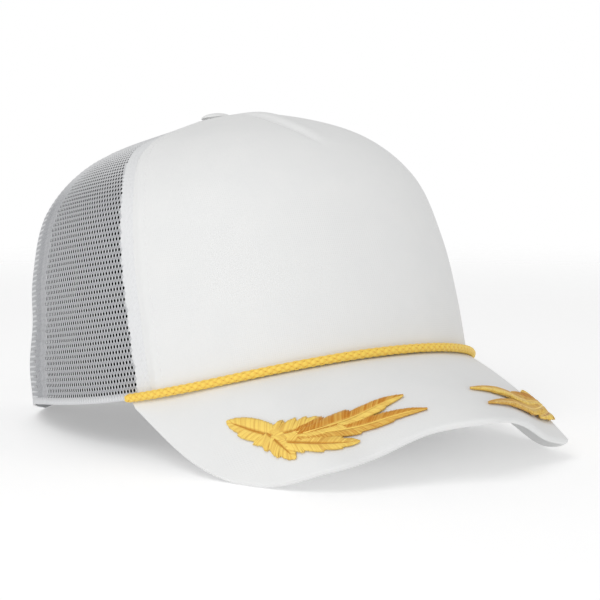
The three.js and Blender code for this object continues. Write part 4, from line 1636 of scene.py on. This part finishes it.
@dataclass(frozen=True)
class LeafSprays:
    """Two sprays of leaves in satin stitch on the peak. The left has four leaves of its own."""

    leaves: tuple[Leaf, ...] = (
        Leaf(40.1, 0.641, 47.4, 0.398, 0.0, (5.8, 5.0), (1, 3), (0.05, 0.1), 0.9, 0.36),
        Leaf(41.1, 0.578, 39.3, 0.843, 0.0, (5.0, 5.4), (2, 3), (0.12, 0.1), 0.9, 0.36),
        Leaf(40.7, 0.613, 29.6, 0.584, -2.2, (6.4, 3.6), (4, 2), (0.15, 0.1), 0.9, 0.3),
        Leaf(36.8, 0.674, 21.6, 0.629, -0.8, (5.2, 2.2), (2, 1), (0.9, 0.3), 0.0, 0.25),
        Leaf(39.2, 0.705, 25.1, 0.865, -1.5, (5.0, 3.6), (4, 4), (0.3, 0.1), 0.9, 0.3),
        Leaf(36.8, 0.692, 9.5, 0.806, -0.8, (4.8, 3.2), (1, 4), (0.95, 0.6), 0.0, 0.3),
        Leaf(35.7, 0.687, 11.1, 0.62, -1.2, (5.2, 4.2), (2, 5), (0.8, 0.1), 0.1, 0.22),
    )
    left_leaves: tuple[tuple[int, Leaf], ...] = (
        (0, Leaf(40.1, 0.641, 47.4, 0.398, 0.0, (5.8, 3.4), (1, 3), (0.05, 0.1), 0.9, 0.36)),
        (1, Leaf(41.1, 0.578, 46.0, 0.76, 0.0, (3.6, 3.6), (2, 3), (0.12, 0.1), 0.9, 0.36)),
        (5, Leaf(36.8, 0.692, 2.9, 0.833, -3.6, (3.8, 2.8), (1, 4), (0.6, 0.45), 0.0, 0.3)),
        (6, Leaf(35.7, 0.687, 3.4, 0.636, -2.4, (3.2, 3.4), (2, 5), (0.6, 0.1), 0.1, 0.22)),
    )
    lift: float = 0.3
    height: float = 0.75
    stack: float = 0.07
    tooth_depth: float = 0.308
    tooth_curve: float = 1.5
    tooth_root: float = 0.08
    tip_width: float = 0.05
    tip_from: float = 0.65
    tip_flat: float = 0.7
    tip: float = 0.995
    fullness: float = 0.65
    thread_pitch: float = 0.42
    thread_half_width: float = 0.24
    thread_half_height: float = 0.15
    slant: float = 2.6
    ragged: float = 0.15
    tone_spread: float = 0.3
    beside_vein: float = 0.1
    arch_from: float = 0.1
    arch_over: float = 0.86
    arch_round: float = 0.6
    shaded_in: float = 0.15
    shaded_by: float = 0.8
    # Painted highlight on the threads' outer ends, where they turn over the padding: from where, and
    # how much.
    edge_highlight_from: float = 0.84
    outline: float = 0.45
    stations: int = 6
    sides: int = 4
    light_vein: tuple[float, float] = (0.36, 0.85)
    dark_vein: tuple[float, float] = (0.3, 0.5)
    vein_height: float = 0.22
    vein_points: int = 40
    base_inset: float = 0.25
    base_drop: float = 0.15
    base_groove: float = 0.25
    base_under: float = 0.1
    base_columns: int = 8
    base_rows: int = 60
    probe: float = 0.02

    def half_width(self, leaf: Leaf, half: int, along: Array) -> Array:
        """Width of one half of a leaf from its stalk (0) to its tip (1), in mm."""
        body = np.sin(np.pi * mix(leaf.base, self.tip, along)) ** self.fullness
        tooth = (along * leaf.teeth[half]) % 1
        notch = (1 - tooth) ** self.tooth_curve * smooth(tooth / self.tooth_root)
        width = leaf.widths[half] * body * (1 - self.tooth_depth * notch)
        return np.maximum(width, self.tip_width * leaf.widths[half])

    def low_at_tip(self, along: Array) -> Array:
        """Share of the full height along a leaf, which lies flatter towards its tip."""
        return 1 - self.tip_flat * smooth((along - self.tip_from) / (1 - self.tip_from))

    def vein_line(self, leaf: Leaf, along: Array) -> tuple[Array, Array]:
        """Place and reach of the straight line from stalk to tip."""
        angle = mix(leaf.angle, leaf.tip_angle, along)
        return angle / PEAK.root_angle, mix(leaf.reach, leaf.tip_reach, along)

    def spot(self, leaf: Leaf, along: Array, aside: Array, raised: Array) -> tuple[Array, Array]:
        """Points of a leaf, and the peak's upward direction under each.

        Args:
            leaf: The leaf.
            along: Places from its stalk (0) to its tip (1).
            aside: Millimetres from its vein, towards the crown.
            raised: Millimetres over the peak.

        Returns:
            The points in mm, and the directions.
        """
        place, reach = self.vein_line(leaf, along)
        here = PEAK.top(place, reach)
        ahead = unit(PEAK.top(*self.vein_line(leaf, along + self.probe)) - here)
        _, _, up = PEAK.axes(place, reach)
        beside = np.cross(up, ahead)
        to_crown = np.sign((beside * (PEAK.top(place, reach - self.probe) - here)).sum(-1))
        beside = beside * (to_crown * (aside + leaf.bow * np.sin(np.pi * along)))[..., None]
        step = PEAK.step
        per_place = (PEAK.top(place + step, reach) - PEAK.top(place - step, reach)) / (2 * step)
        per_reach = (PEAK.top(place, reach + step) - PEAK.top(place, reach - step)) / (2 * step)
        a, b, d = ((per_place * other).sum(-1) for other in (per_place, per_reach, beside))
        c, e = ((per_reach * other).sum(-1) for other in (per_reach, beside))
        size = a * c - b * b
        place, reach = place + (d * c - e * b) / size, reach + (e * a - d * b) / size
        _, _, up = PEAK.axes(place, reach)
        return PEAK.top(place, reach) + up * raised[..., None], up

    def leaf(self, leaf: Leaf, number: int) -> Build:
        """Satin stitches of one leaf, from the vein slanting out to both edges, over a padded base.

        Args:
            leaf: The leaf.
            number: Its number in the spray, which stacks it a little over the leaves before it.

        Returns:
            The threads, the vein and the base.
        """
        ends, _ = self.spot(leaf, np.array([0.0, 1.0]), np.zeros(2), np.zeros(2))
        length = float(np.linalg.norm(ends[1] - ends[0]))
        count = int(length / self.thread_pitch)
        part = np.linspace(0, 1, self.stations)[None, :]
        start = np.linspace(0, 1, count)[:, None]
        base_lift = self.lift + self.stack * number
        shuffle = np.random.default_rng(FIRST_SEED + number).uniform(-1, 1, (2, count, 1))
        arch = np.sin(np.pi * (self.arch_from + self.arch_over * part)) ** self.arch_round
        size = self.thread_half_width, self.thread_half_height, self.sides
        parts = []
        for half, sign in enumerate((1, -1)):
            tip_along = np.clip(start + self.slant / length, 0, 1)
            along = mix(start, tip_along, part)
            edge = self.half_width(leaf, half, tip_along) + self.ragged * shuffle[0]
            aside = sign * mix(self.beside_vein, edge, part)
            raised = base_lift + self.height * arch * self.low_at_tip(along)
            path, up = self.spot(leaf, along, aside, raised)
            threads = tubes(path, up, *size, np.ones(self.stations))
            # Tones paint light and shade: each half has its own, threads by the vein take the
            # vein's, and the outer ends a painted highlight.
            tone = leaf.tones[half] + self.tone_spread * shuffle[1]
            at_vein = (leaf.vein - tone) * (part < self.shaded_in) * self.shaded_by
            tone = tone + at_vein - self.outline * tone * (part > self.edge_highlight_from)
            threads.tone = np.repeat(np.clip(tone, 0, 1).ravel(), self.sides)
            parts.append(threads)
        return joined([*parts, self.vein(leaf, base_lift), self.base(leaf, base_lift)])

    def vein(self, leaf: Leaf, base_lift: float) -> Build:
        """The vein: one line of thread down the middle of a leaf, raised where it is light. Its tone
        is painted shade where it lies low and painted light where it stands up.
        """
        along = np.linspace(0.02, 0.94, self.vein_points)
        width, share = self.dark_vein if leaf.vein > 0.5 else self.light_vein
        raised = base_lift + self.height * share * self.low_at_tip(along)
        path, up = self.spot(leaf, along, np.zeros(self.vein_points), raised)
        taper = np.linspace(1, 0.5, self.vein_points)
        line = tubes(path[None], up[None], width, self.vein_height, 6, taper)
        line.tone = np.full(len(line.points), leaf.vein)
        return line

    def base(self, leaf: Leaf, base_lift: float) -> Build:
        """The padding under the stitches, which closes the gaps between them."""
        u, v = grid_places(self.base_columns, self.base_rows)
        wide = np.where(u > 0, self.half_width(leaf, 0, v), self.half_width(leaf, 1, v))
        aside = u * (wide - self.base_inset)
        full = (self.height - self.base_drop) * (1 - u**4) - self.base_groove * (np.abs(u) < 0.1)
        outer, _ = self.spot(leaf, v, aside, base_lift + full * self.low_at_tip(v))
        inner, _ = self.spot(leaf, v, aside, np.full(u.shape, self.base_under))
        # The padding shows in the gaps between threads, painted a little darker as shade.
        tone = np.clip(np.where(u > 0, *leaf.tones) * 0.8 + 0.25, 0, 1).ravel()
        return shell(outer, inner, grid_faces(self.base_columns, self.base_rows), None, tone)

    def dress(self) -> None:
        """Builds the two sprays."""
        finish = [SATIN.material()]
        for side in Side:
            leaves = dict(enumerate(self.leaves))
            if side is Side.LEFT:
                leaves.update(self.left_leaves)
            spray = joined([self.leaf(leaf, number) for number, leaf in leaves.items()])
            node = f"leaf_spray_{side.word}"
            build_piece(f"{node}_stitches", spray, finish, [node], "gold_thread", side, 100)


@dataclass(frozen=True)
class Sweatband:
    """The band inside the crown's bottom edge, padded and sewn along both its edges, in mm."""

    bottom: float = 1.5
    top: float = 27
    depth: float = 4.9
    thickness: float = 1.0
    end: float = 147
    stitch_inset: float = 3
    stitch_lift: float = 0.15
    stitch_path: int = 900
    waist: float = 0.35
    waist_reach: float = 1.2
    padding: float = 0.5
    cloth_per_degree: float = 1.7
    columns: int = 220
    rows: int = 12

    def dress(self) -> None:
        """Builds the band and its stitches."""
        over, up = grid_places(self.columns, self.rows)
        angle = over * self.end
        rise = mix(self.bottom, self.top, up)
        level = CROWN.level_at(rise)
        stitched = (self.bottom + self.stitch_inset, self.top - self.stitch_inset)
        waist = sum(self.waist * bell(rise - at, self.waist_reach) for at in stitched)
        thick = self.thickness + self.padding * np.sin(np.pi * up) - waist
        outer = CROWN.point(angle, level, np.full(angle.shape, self.depth))
        inner = CROWN.point(angle, level, self.depth + thick)
        uv = np.stack([angle * self.cloth_per_degree, rise], -1).reshape(-1, 2)
        body = shell(outer, inner, grid_faces(self.columns, self.rows), uv)
        build_piece("sweatband_twill", body, [BAND_TWILL.material()], ["sweatband"], "dark_band")
        rows = []
        deep = self.depth + self.thickness + self.stitch_lift
        turn = np.linspace(-self.end + 1, self.end - 1, self.stitch_path)
        for rise_at in stitched:
            here = np.full(turn.shape, CROWN.level_at(rise_at))
            rows.append(Stitches().row(CROWN.point(turn, here, deep), -CROWN.normal(turn, here)))
        build_piece("sweatband_stitches", joined(rows), [SEWING.material()], [], "dark_band")


@dataclass(frozen=True)
class OpeningBinding:
    """Folded binding round the half-moon opening, sewn through both sides, in mm."""

    width: float = 8
    thickness: float = 0.7
    clear: float = 0.75
    net: float = 1.2
    fold: float = 1.05
    first_swing: float = 4
    half_angle: float = 30
    height: float = 56
    stations: int = 120
    fold_steps: int = 8
    slot_end: float = -0.35
    cloth_per_degree: float = 1.2
    stitch_inset: float = 1.6
    stitch_path: int = 500

    def place(self, swing: Array, into_net: Array, out: Array) -> Array:
        """Points round the arch, some way into the net and out from the crown's form."""
        swing, into_net, out = np.broadcast_arrays(swing, into_net, out)
        per_degree = CROWN.arc_per_degree(BACK_CENTRE - self.half_angle, 0.0)
        half = self.half_angle + into_net / per_degree
        level = CROWN.level_at((self.height + into_net) * np.sin(np.radians(swing)))
        return CROWN.point(BACK_CENTRE - half * np.cos(np.radians(swing)), level, -out)

    def dress(self) -> None:
        """Builds the binding with a rounded fold, and its stitches on both faces."""
        outside, inside = self.clear + self.thickness, -self.net - self.clear
        back = inside - self.thickness
        middle, half = (outside + back) / 2, (outside - back) / 2
        turns = np.radians(np.linspace(90, 270, self.fold_steps + 1))
        fold = [(self.fold * np.cos(turn), middle + half * np.sin(turn)) for turn in turns]
        profile = [(self.width, outside), (self.width / 2, outside), *fold]
        profile += [(self.width / 2, back), (self.width, back), (self.width, inside)]
        profile += [(self.slot_end, inside), (self.slot_end, self.clear), (self.width, self.clear)]
        first, last = self.first_swing, 180 - self.first_swing
        swing = np.linspace(first, last, self.stations + 1)[:, None]
        into_net, out = np.array(profile).T[:, None, :]
        rings = self.place(swing, into_net, out)
        uv = np.stack(np.broadcast_arrays(swing * self.cloth_per_degree, into_net), -1)
        body = swept(rings, uv.reshape(-1, 2))
        finish = [PEAK_TWILL.material()]
        build_piece("opening_binding_cloth", body, finish, ["opening_binding"], "white_cloth")
        rows = []
        fine = np.linspace(first + 2, last - 2, self.stitch_path)
        inset = self.width - self.stitch_inset
        for out_at, further in ((outside, 1.0), (back, -1.0)):
            path = self.place(fine, inset, out_at)
            ahead = self.place(fine, inset, out_at + further) - path
            rows.append(Stitches().row(path, unit(ahead)))
        sewing = [SEWING.material()]
        build_piece("opening_binding_stitches", joined(rows), sewing, [], "white_cloth")


@dataclass(frozen=True)
class SnapStrap:
    """The two moulded halves of the strap, fastened: the pegs of one pass through the other."""

    bottom: float = 2
    top: float = 20
    thickness: float = 1.0
    inner_depth: float = 3.3
    outer_depth: float = 1.7
    anchor: float = 143
    tip: float = 195
    step_from: float = 20
    step_width: float = 9
    pitch: float = 7.5
    first_peg: float = 191.25
    pegs: int = 5
    shaft: float = 2.2
    head: float = 3.0
    hole: float = 2.65
    gap: float = 0.4
    proud: float = 0.9
    peg_foot: float = 0.5
    head_round: float = 0.35
    head_rise: float = 0.1
    rim_steps: int = 4
    round_steps: int = 32
    tip_steps: int = 24
    mesh_step: float = 2
    anchor_step: float = 3
    hole_clear: float = 0.6
    tip_clear: float = 0.8

    @property
    def middle(self) -> float:
        """Height of the strap's middle line."""
        return (self.bottom + self.top) / 2

    @property
    def half(self) -> float:
        """Half the strap's width."""
        return (self.top - self.bottom) / 2

    def scale(self) -> float:
        """Millimetres along the strap for one degree at the back centre."""
        return float(CROWN.arc_per_degree(BACK_CENTRE, 0.0))

    def place(self, angle: Array, height: Array, depth: Array) -> Array:
        """Points of the strap at a height, at a depth under the crown's form."""
        over_edge = height - CROWN.edge_rise(turn_within(angle))
        return CROWN.point(angle, CROWN.level_at(over_edge), depth)

    def outer_at(self, angle: Array) -> Array:
        """Depth of the outer half, which steps out over the other half."""
        from_back = np.abs(turn_within(angle - BACK_CENTRE))
        stepped = smooth((from_back - self.step_from) / self.step_width)
        return mix(self.outer_depth, self.inner_depth, stepped)

    def outline(self, start: float, end: float) -> list[tuple[float, float]]:
        """Flat outline of one half, straight at its start and round at its end, in mm."""
        half, step = self.half, self.mesh_step
        turns = np.radians(np.linspace(-90, 90, self.tip_steps + 1))
        along = np.arange(start + step, end - half, step)
        tip = [(end - half + half * math.cos(t), half * math.sin(t)) for t in turns]
        low, high = [(x, -half) for x in along], [(x, half) for x in along[::-1]]
        down = np.arange(half - self.anchor_step, -half, -self.anchor_step)
        return [(start, -half), *low, *tip, *high, (start, half), *[(start, y) for y in down]]

    def band(self, depth_at: Callable[[Array], Array], holes: bool) -> Build:
        """One half of the strap, cut from a flat outline and bent round the back.

        Args:
            depth_at: Depth of its outer face at an angle.
            holes: Whether the row of holes is cut through it.

        Returns:
            The band as a closed body.
        """
        scale, half = self.scale(), self.half
        start, end = self.anchor * scale, self.tip * scale
        points = self.outline(start, end)
        loops = [list(range(len(points)))]
        count = self.pegs if holes else 0
        centres = [(self.first_peg - k * self.pitch) * scale for k in range(count)]
        turns = np.linspace(0, 2 * np.pi, self.round_steps, endpoint=False)
        for centre in centres:
            loops.append(list(range(len(points), len(points) + self.round_steps)))
            points += [(centre + self.hole * math.cos(t), self.hole * math.sin(t)) for t in turns]
        for x in np.arange(start + self.mesh_step, end - self.mesh_step, self.mesh_step):
            for y in np.arange(-half + self.mesh_step, half - 1, self.mesh_step):
                clear = all(math.hypot(x - c, y) > self.hole + self.hole_clear for c in centres)
                inside_tip = math.hypot(x - end + half, y) < half - self.tip_clear
                if clear and (x < end - half or inside_tip):
                    points.append((x, y))
        corners = [Vector(point) for point in points]
        flat, _, triangles, _, _, _ = delaunay_2d_cdt(corners, [], loops, 2, 1e-5)
        place = np.array([[p.x, p.y] for p in flat])
        faces = np.array([list(t) for t in triangles if len(t) == 3])
        mid = place[faces].mean(axis=1)
        for centre in centres:
            outside = np.hypot(mid[:, 0] - centre, mid[:, 1]) >= self.hole * 0.97
            faces, mid = faces[outside], mid[outside]
        angle, height = place[:, 0] / scale, self.middle + place[:, 1]
        depth = depth_at(angle)
        outer = self.place(angle, height, depth)
        inner = self.place(angle, height, depth + self.thickness)
        return shell(outer, inner, faces, place)

    def peg(self, angle: float) -> Build:
        """One peg with its mushroom head."""
        neck = self.inner_depth - self.outer_depth + self.gap
        top, bend = neck + self.proud, self.head_round
        turns = np.radians(np.linspace(0, 90, self.rim_steps + 1))
        rim = [(self.head + bend * (np.cos(t) - 1), top + bend * (np.sin(t) - 1)) for t in turns]
        profile = [(AXIS_RADIUS, -self.peg_foot), (self.shaft, -self.peg_foot), (self.shaft, neck)]
        profile += [(self.head, neck + self.head_rise), *rim, (AXIS_RADIUS, top)]
        turn = np.linspace(0, 2 * np.pi, self.round_steps, endpoint=False)
        radius, height = np.array(profile).T[..., None, None]
        spot = (np.array([angle]), np.array([self.middle]), np.array([self.inner_depth]))
        foot = self.place(*spot)[0]
        out = CROWN.normal(np.array([angle]), np.array([0.0]))[0]
        side = unit(np.cross(out, np.array([0.0, 0.0, 1.0])))
        up = np.cross(side, out)
        ring = side * np.cos(turn)[:, None] + up * np.sin(turn)[:, None]
        return swept(foot + ring * radius + out * height)

    def dress(self) -> None:
        """Builds the half with pegs and the half with holes."""
        finish = [STRAP_PLASTIC.material()]
        pegs = [self.peg(self.first_peg - k * self.pitch) for k in range(self.pegs)]
        inner = self.band(partial(np.full_like, fill_value=self.inner_depth), False)
        inner = joined([inner, *pegs])
        outer = self.band(self.outer_at, True)
        right, left = ["strap_right"], ["strap_left"]
        build_piece("strap_right_pegs", inner, finish, right, "white_plastic", Side.RIGHT, 40)
        build_piece("strap_left_holes", outer, finish, left, "white_plastic", Side.LEFT, 40)


@dataclass(frozen=True)
class TopButton:
    """The covered button, with its rivet through the crown and the washer inside, in mm."""

    radius: float = 6.4
    height: float = 2.0
    gap: float = 0.4
    stem: float = 1.5
    washer: float = 5.0
    washer_top: float = 4.2
    washer_thickness: float = 0.8
    washer_round: float = 0.3
    under_edge: float = 0.1
    under_radius: float = 0.93
    foot: float = 0.5
    stem_gap: float = 0.05
    dome_steps: int = 16
    segments: int = 72
    pleats: int = 12
    pleat_depth: float = 0.12
    pleats_from: float = 0.7

    def turned(self, profile: Sequence[tuple[float, float]], fluted: bool) -> Build:
        """Body turned about the button's axis.

        Args:
            profile: Radius and height of each ring, from the bottom up.
            fluted: Whether the cloth is gathered in pleats at its rim.

        Returns:
            The body.
        """
        turn = np.linspace(0, 2 * np.pi, self.segments, endpoint=False)
        radius, height = np.array(profile).T[..., None]
        if fluted:
            near_rim = smooth((radius / self.radius - self.pleats_from) / (1 - self.pleats_from))
            flutes = 0.5 + 0.5 * np.cos(self.pleats * turn)
            radius = radius - self.pleat_depth * near_rim * flutes
        spots = [radius * np.cos(turn), radius * np.sin(turn) + CROWN.top_shift]
        height = height + CROWN.height + self.gap
        rings = np.stack(np.broadcast_arrays(*spots, height), -1)
        return swept(rings, rings[..., :2].reshape(-1, 2))

    def dress(self) -> None:
        """Builds the covered dome and the rivet with its washer."""
        turns = np.radians(np.linspace(-30, 90, self.dome_steps + 1)[:-1])
        dome = [(self.radius * math.cos(t), self.height * math.sin(t)) for t in turns]
        dome = [(radius, max(height, -self.under_edge)) for radius, height in dome]
        foot = [(AXIS_RADIUS, -self.foot), (self.radius * self.under_radius, -self.foot)]
        dome = [*foot, *dome, (AXIS_RADIUS, self.height)]
        top, under = -self.washer_top, -self.washer_top - self.washer_thickness
        rivet = [(AXIS_RADIUS, under), (self.washer - self.washer_round, under)]
        rivet += [(self.washer, under + self.washer_round), (self.washer, top), (self.stem, top)]
        rivet += [(self.stem, -self.stem_gap), (AXIS_RADIUS, -self.stem_gap)]
        cloth, steel = self.turned(dome, True), self.turned(rivet, False)
        steel.slots = [1, 1, 1]
        finishes = [FOAM_KNIT.material(), RIVET_STEEL.material()]
        button = joined([cloth, steel])
        build_piece("top_button_covered", button, finishes, ["top_button"], "white_cloth")


@dataclass(frozen=True)
class Studio:
    """Pale floor, soft light and the camera at the photograph's angle.

    The camera's distances are in mm, those of floor and lamp in metres, and angles in degrees.
    """

    azimuth: float = -33.19
    elevation: float = 8.89
    distance: float = 723.2
    aim_right: float = 23.64
    aim_up: float = 37.47
    focal_pixels: float = 1655.9
    frame_pixels: float = 600
    sensor: float = 36
    floor_radius: float = 3.0
    floor_corners: int = 96
    sky_fall: tuple[float, float] = (0.1, 0.4)
    sky_strength: tuple[float, float] = (1.0, 0.575)
    lamp_azimuth: float = -60
    lamp_elevation: float = 45
    lamp_distance: float = 1.6
    lamp_size: float = 1.0
    lamp_power: float = 7.6
    lamp_aim: float = 0.06

    def direction(self, azimuth: float, elevation: float) -> Vector:
        """Unit direction from the cap, at degrees round it from the front and above the floor."""
        turn, rise = math.radians(azimuth), math.radians(elevation)
        flat = math.cos(rise)
        return Vector((math.sin(turn) * flat, -math.cos(turn) * flat, math.sin(rise)))

    def camera(self) -> None:
        """Adds the camera where the photograph was taken from."""
        azimuth = math.radians(self.azimuth)
        back = self.direction(self.azimuth, self.elevation)
        right = Vector((math.cos(azimuth), math.sin(azimuth), 0))
        up = back.cross(right)
        middle = Vector((0, REST_BACK, REST_LIFT))
        position = (middle + back * self.distance) * MM
        aim = (middle + right * self.aim_right + up * self.aim_up) * MM
        data = bpy.data.cameras.new("camera")
        data.sensor_width = self.sensor
        data.sensor_fit = "HORIZONTAL"
        data.lens = self.focal_pixels / self.frame_pixels * self.sensor
        data.clip_end = 50
        camera = bpy.data.objects.new("camera", data)
        camera.location = position
        camera.rotation_euler = (aim - position).to_track_quat("-Z", "Y").to_euler()
        bpy.context.scene.collection.objects.link(camera)
        bpy.context.scene.camera = camera

    def floor(self) -> None:
        """Adds a wide pale floor that fades into the background far from the cap."""
        turn = 2 * np.pi * np.arange(self.floor_corners) / self.floor_corners
        rim = np.stack([np.cos(turn), np.sin(turn), 0 * turn], -1) * self.floor_radius
        mesh = bpy.data.meshes.new("floor")
        mesh.from_pydata([tuple(p) for p in rim], [], [tuple(range(len(rim)))])
        mesh.materials.append(PALE_PAPER.material())
        floor = bpy.data.objects.new("floor", mesh)
        bpy.context.scene.collection.objects.link(floor)

    def sky(self) -> None:
        """Sets the even light of a white studio, weaker from straight above."""
        world = bpy.data.worlds.new("studio")
        world.use_nodes = True
        world.node_tree.nodes.clear()
        add = partial(add_node, world.node_tree)
        solid = add("TexCoord")
        split = add("SeparateXYZ", {}, {0: solid.outputs["Generated"]})
        fall = add(
            "MapRange",
            {
                "interpolation_type": "SMOOTHSTEP",
                "From Min": self.sky_fall[0],
                "From Max": self.sky_fall[1],
                "To Min": self.sky_strength[0],
                "To Max": self.sky_strength[1],
            },
            {"Value": split.outputs["Z"]},
        )
        glow = add("Background", {"Color": linear("#ffffff")}, {"Strength": fall})
        add("OutputWorld", {}, {"Surface": glow})
        bpy.context.scene.world = world

    def lamp(self) -> None:
        """Adds one soft area light aimed at the cap."""
        away = self.direction(self.lamp_azimuth, self.lamp_elevation)
        data = bpy.data.lights.new("key", "AREA")
        data.shape = "DISK"
        data.size = self.lamp_size
        data.energy = self.lamp_power
        lamp = bpy.data.objects.new("key", data)
        lamp.location = Vector((0, 0, self.lamp_aim)) + away * self.lamp_distance
        lamp.rotation_euler = (-away).to_track_quat("-Z", "Y").to_euler()
        bpy.context.scene.collection.objects.link(lamp)

    def dress(self) -> None:
        """Sets up floor, light and camera."""
        self.floor()
        self.sky()
        self.lamp()
        self.camera()
        bpy.context.scene.view_settings.view_transform = "Standard"


def main() -> None:
    """Builds the cap's pieces in order, then the studio."""
    logging.basicConfig(level=logging.INFO, format="%(name)s: %(message)s")
    sub_assemblies = (
        FrontPanel(),
        SIDE_NET,
        BACK_NET,
        SeamTapes(),
        PEAK,
        RopeTrim(),
        LeafSprays(),
        Sweatband(),
        OpeningBinding(),
        SnapStrap(),
        TopButton(),
        Studio(),
    )
    for part in sub_assemblies:
        part.dress()


if __name__ == "__main__":
    main()
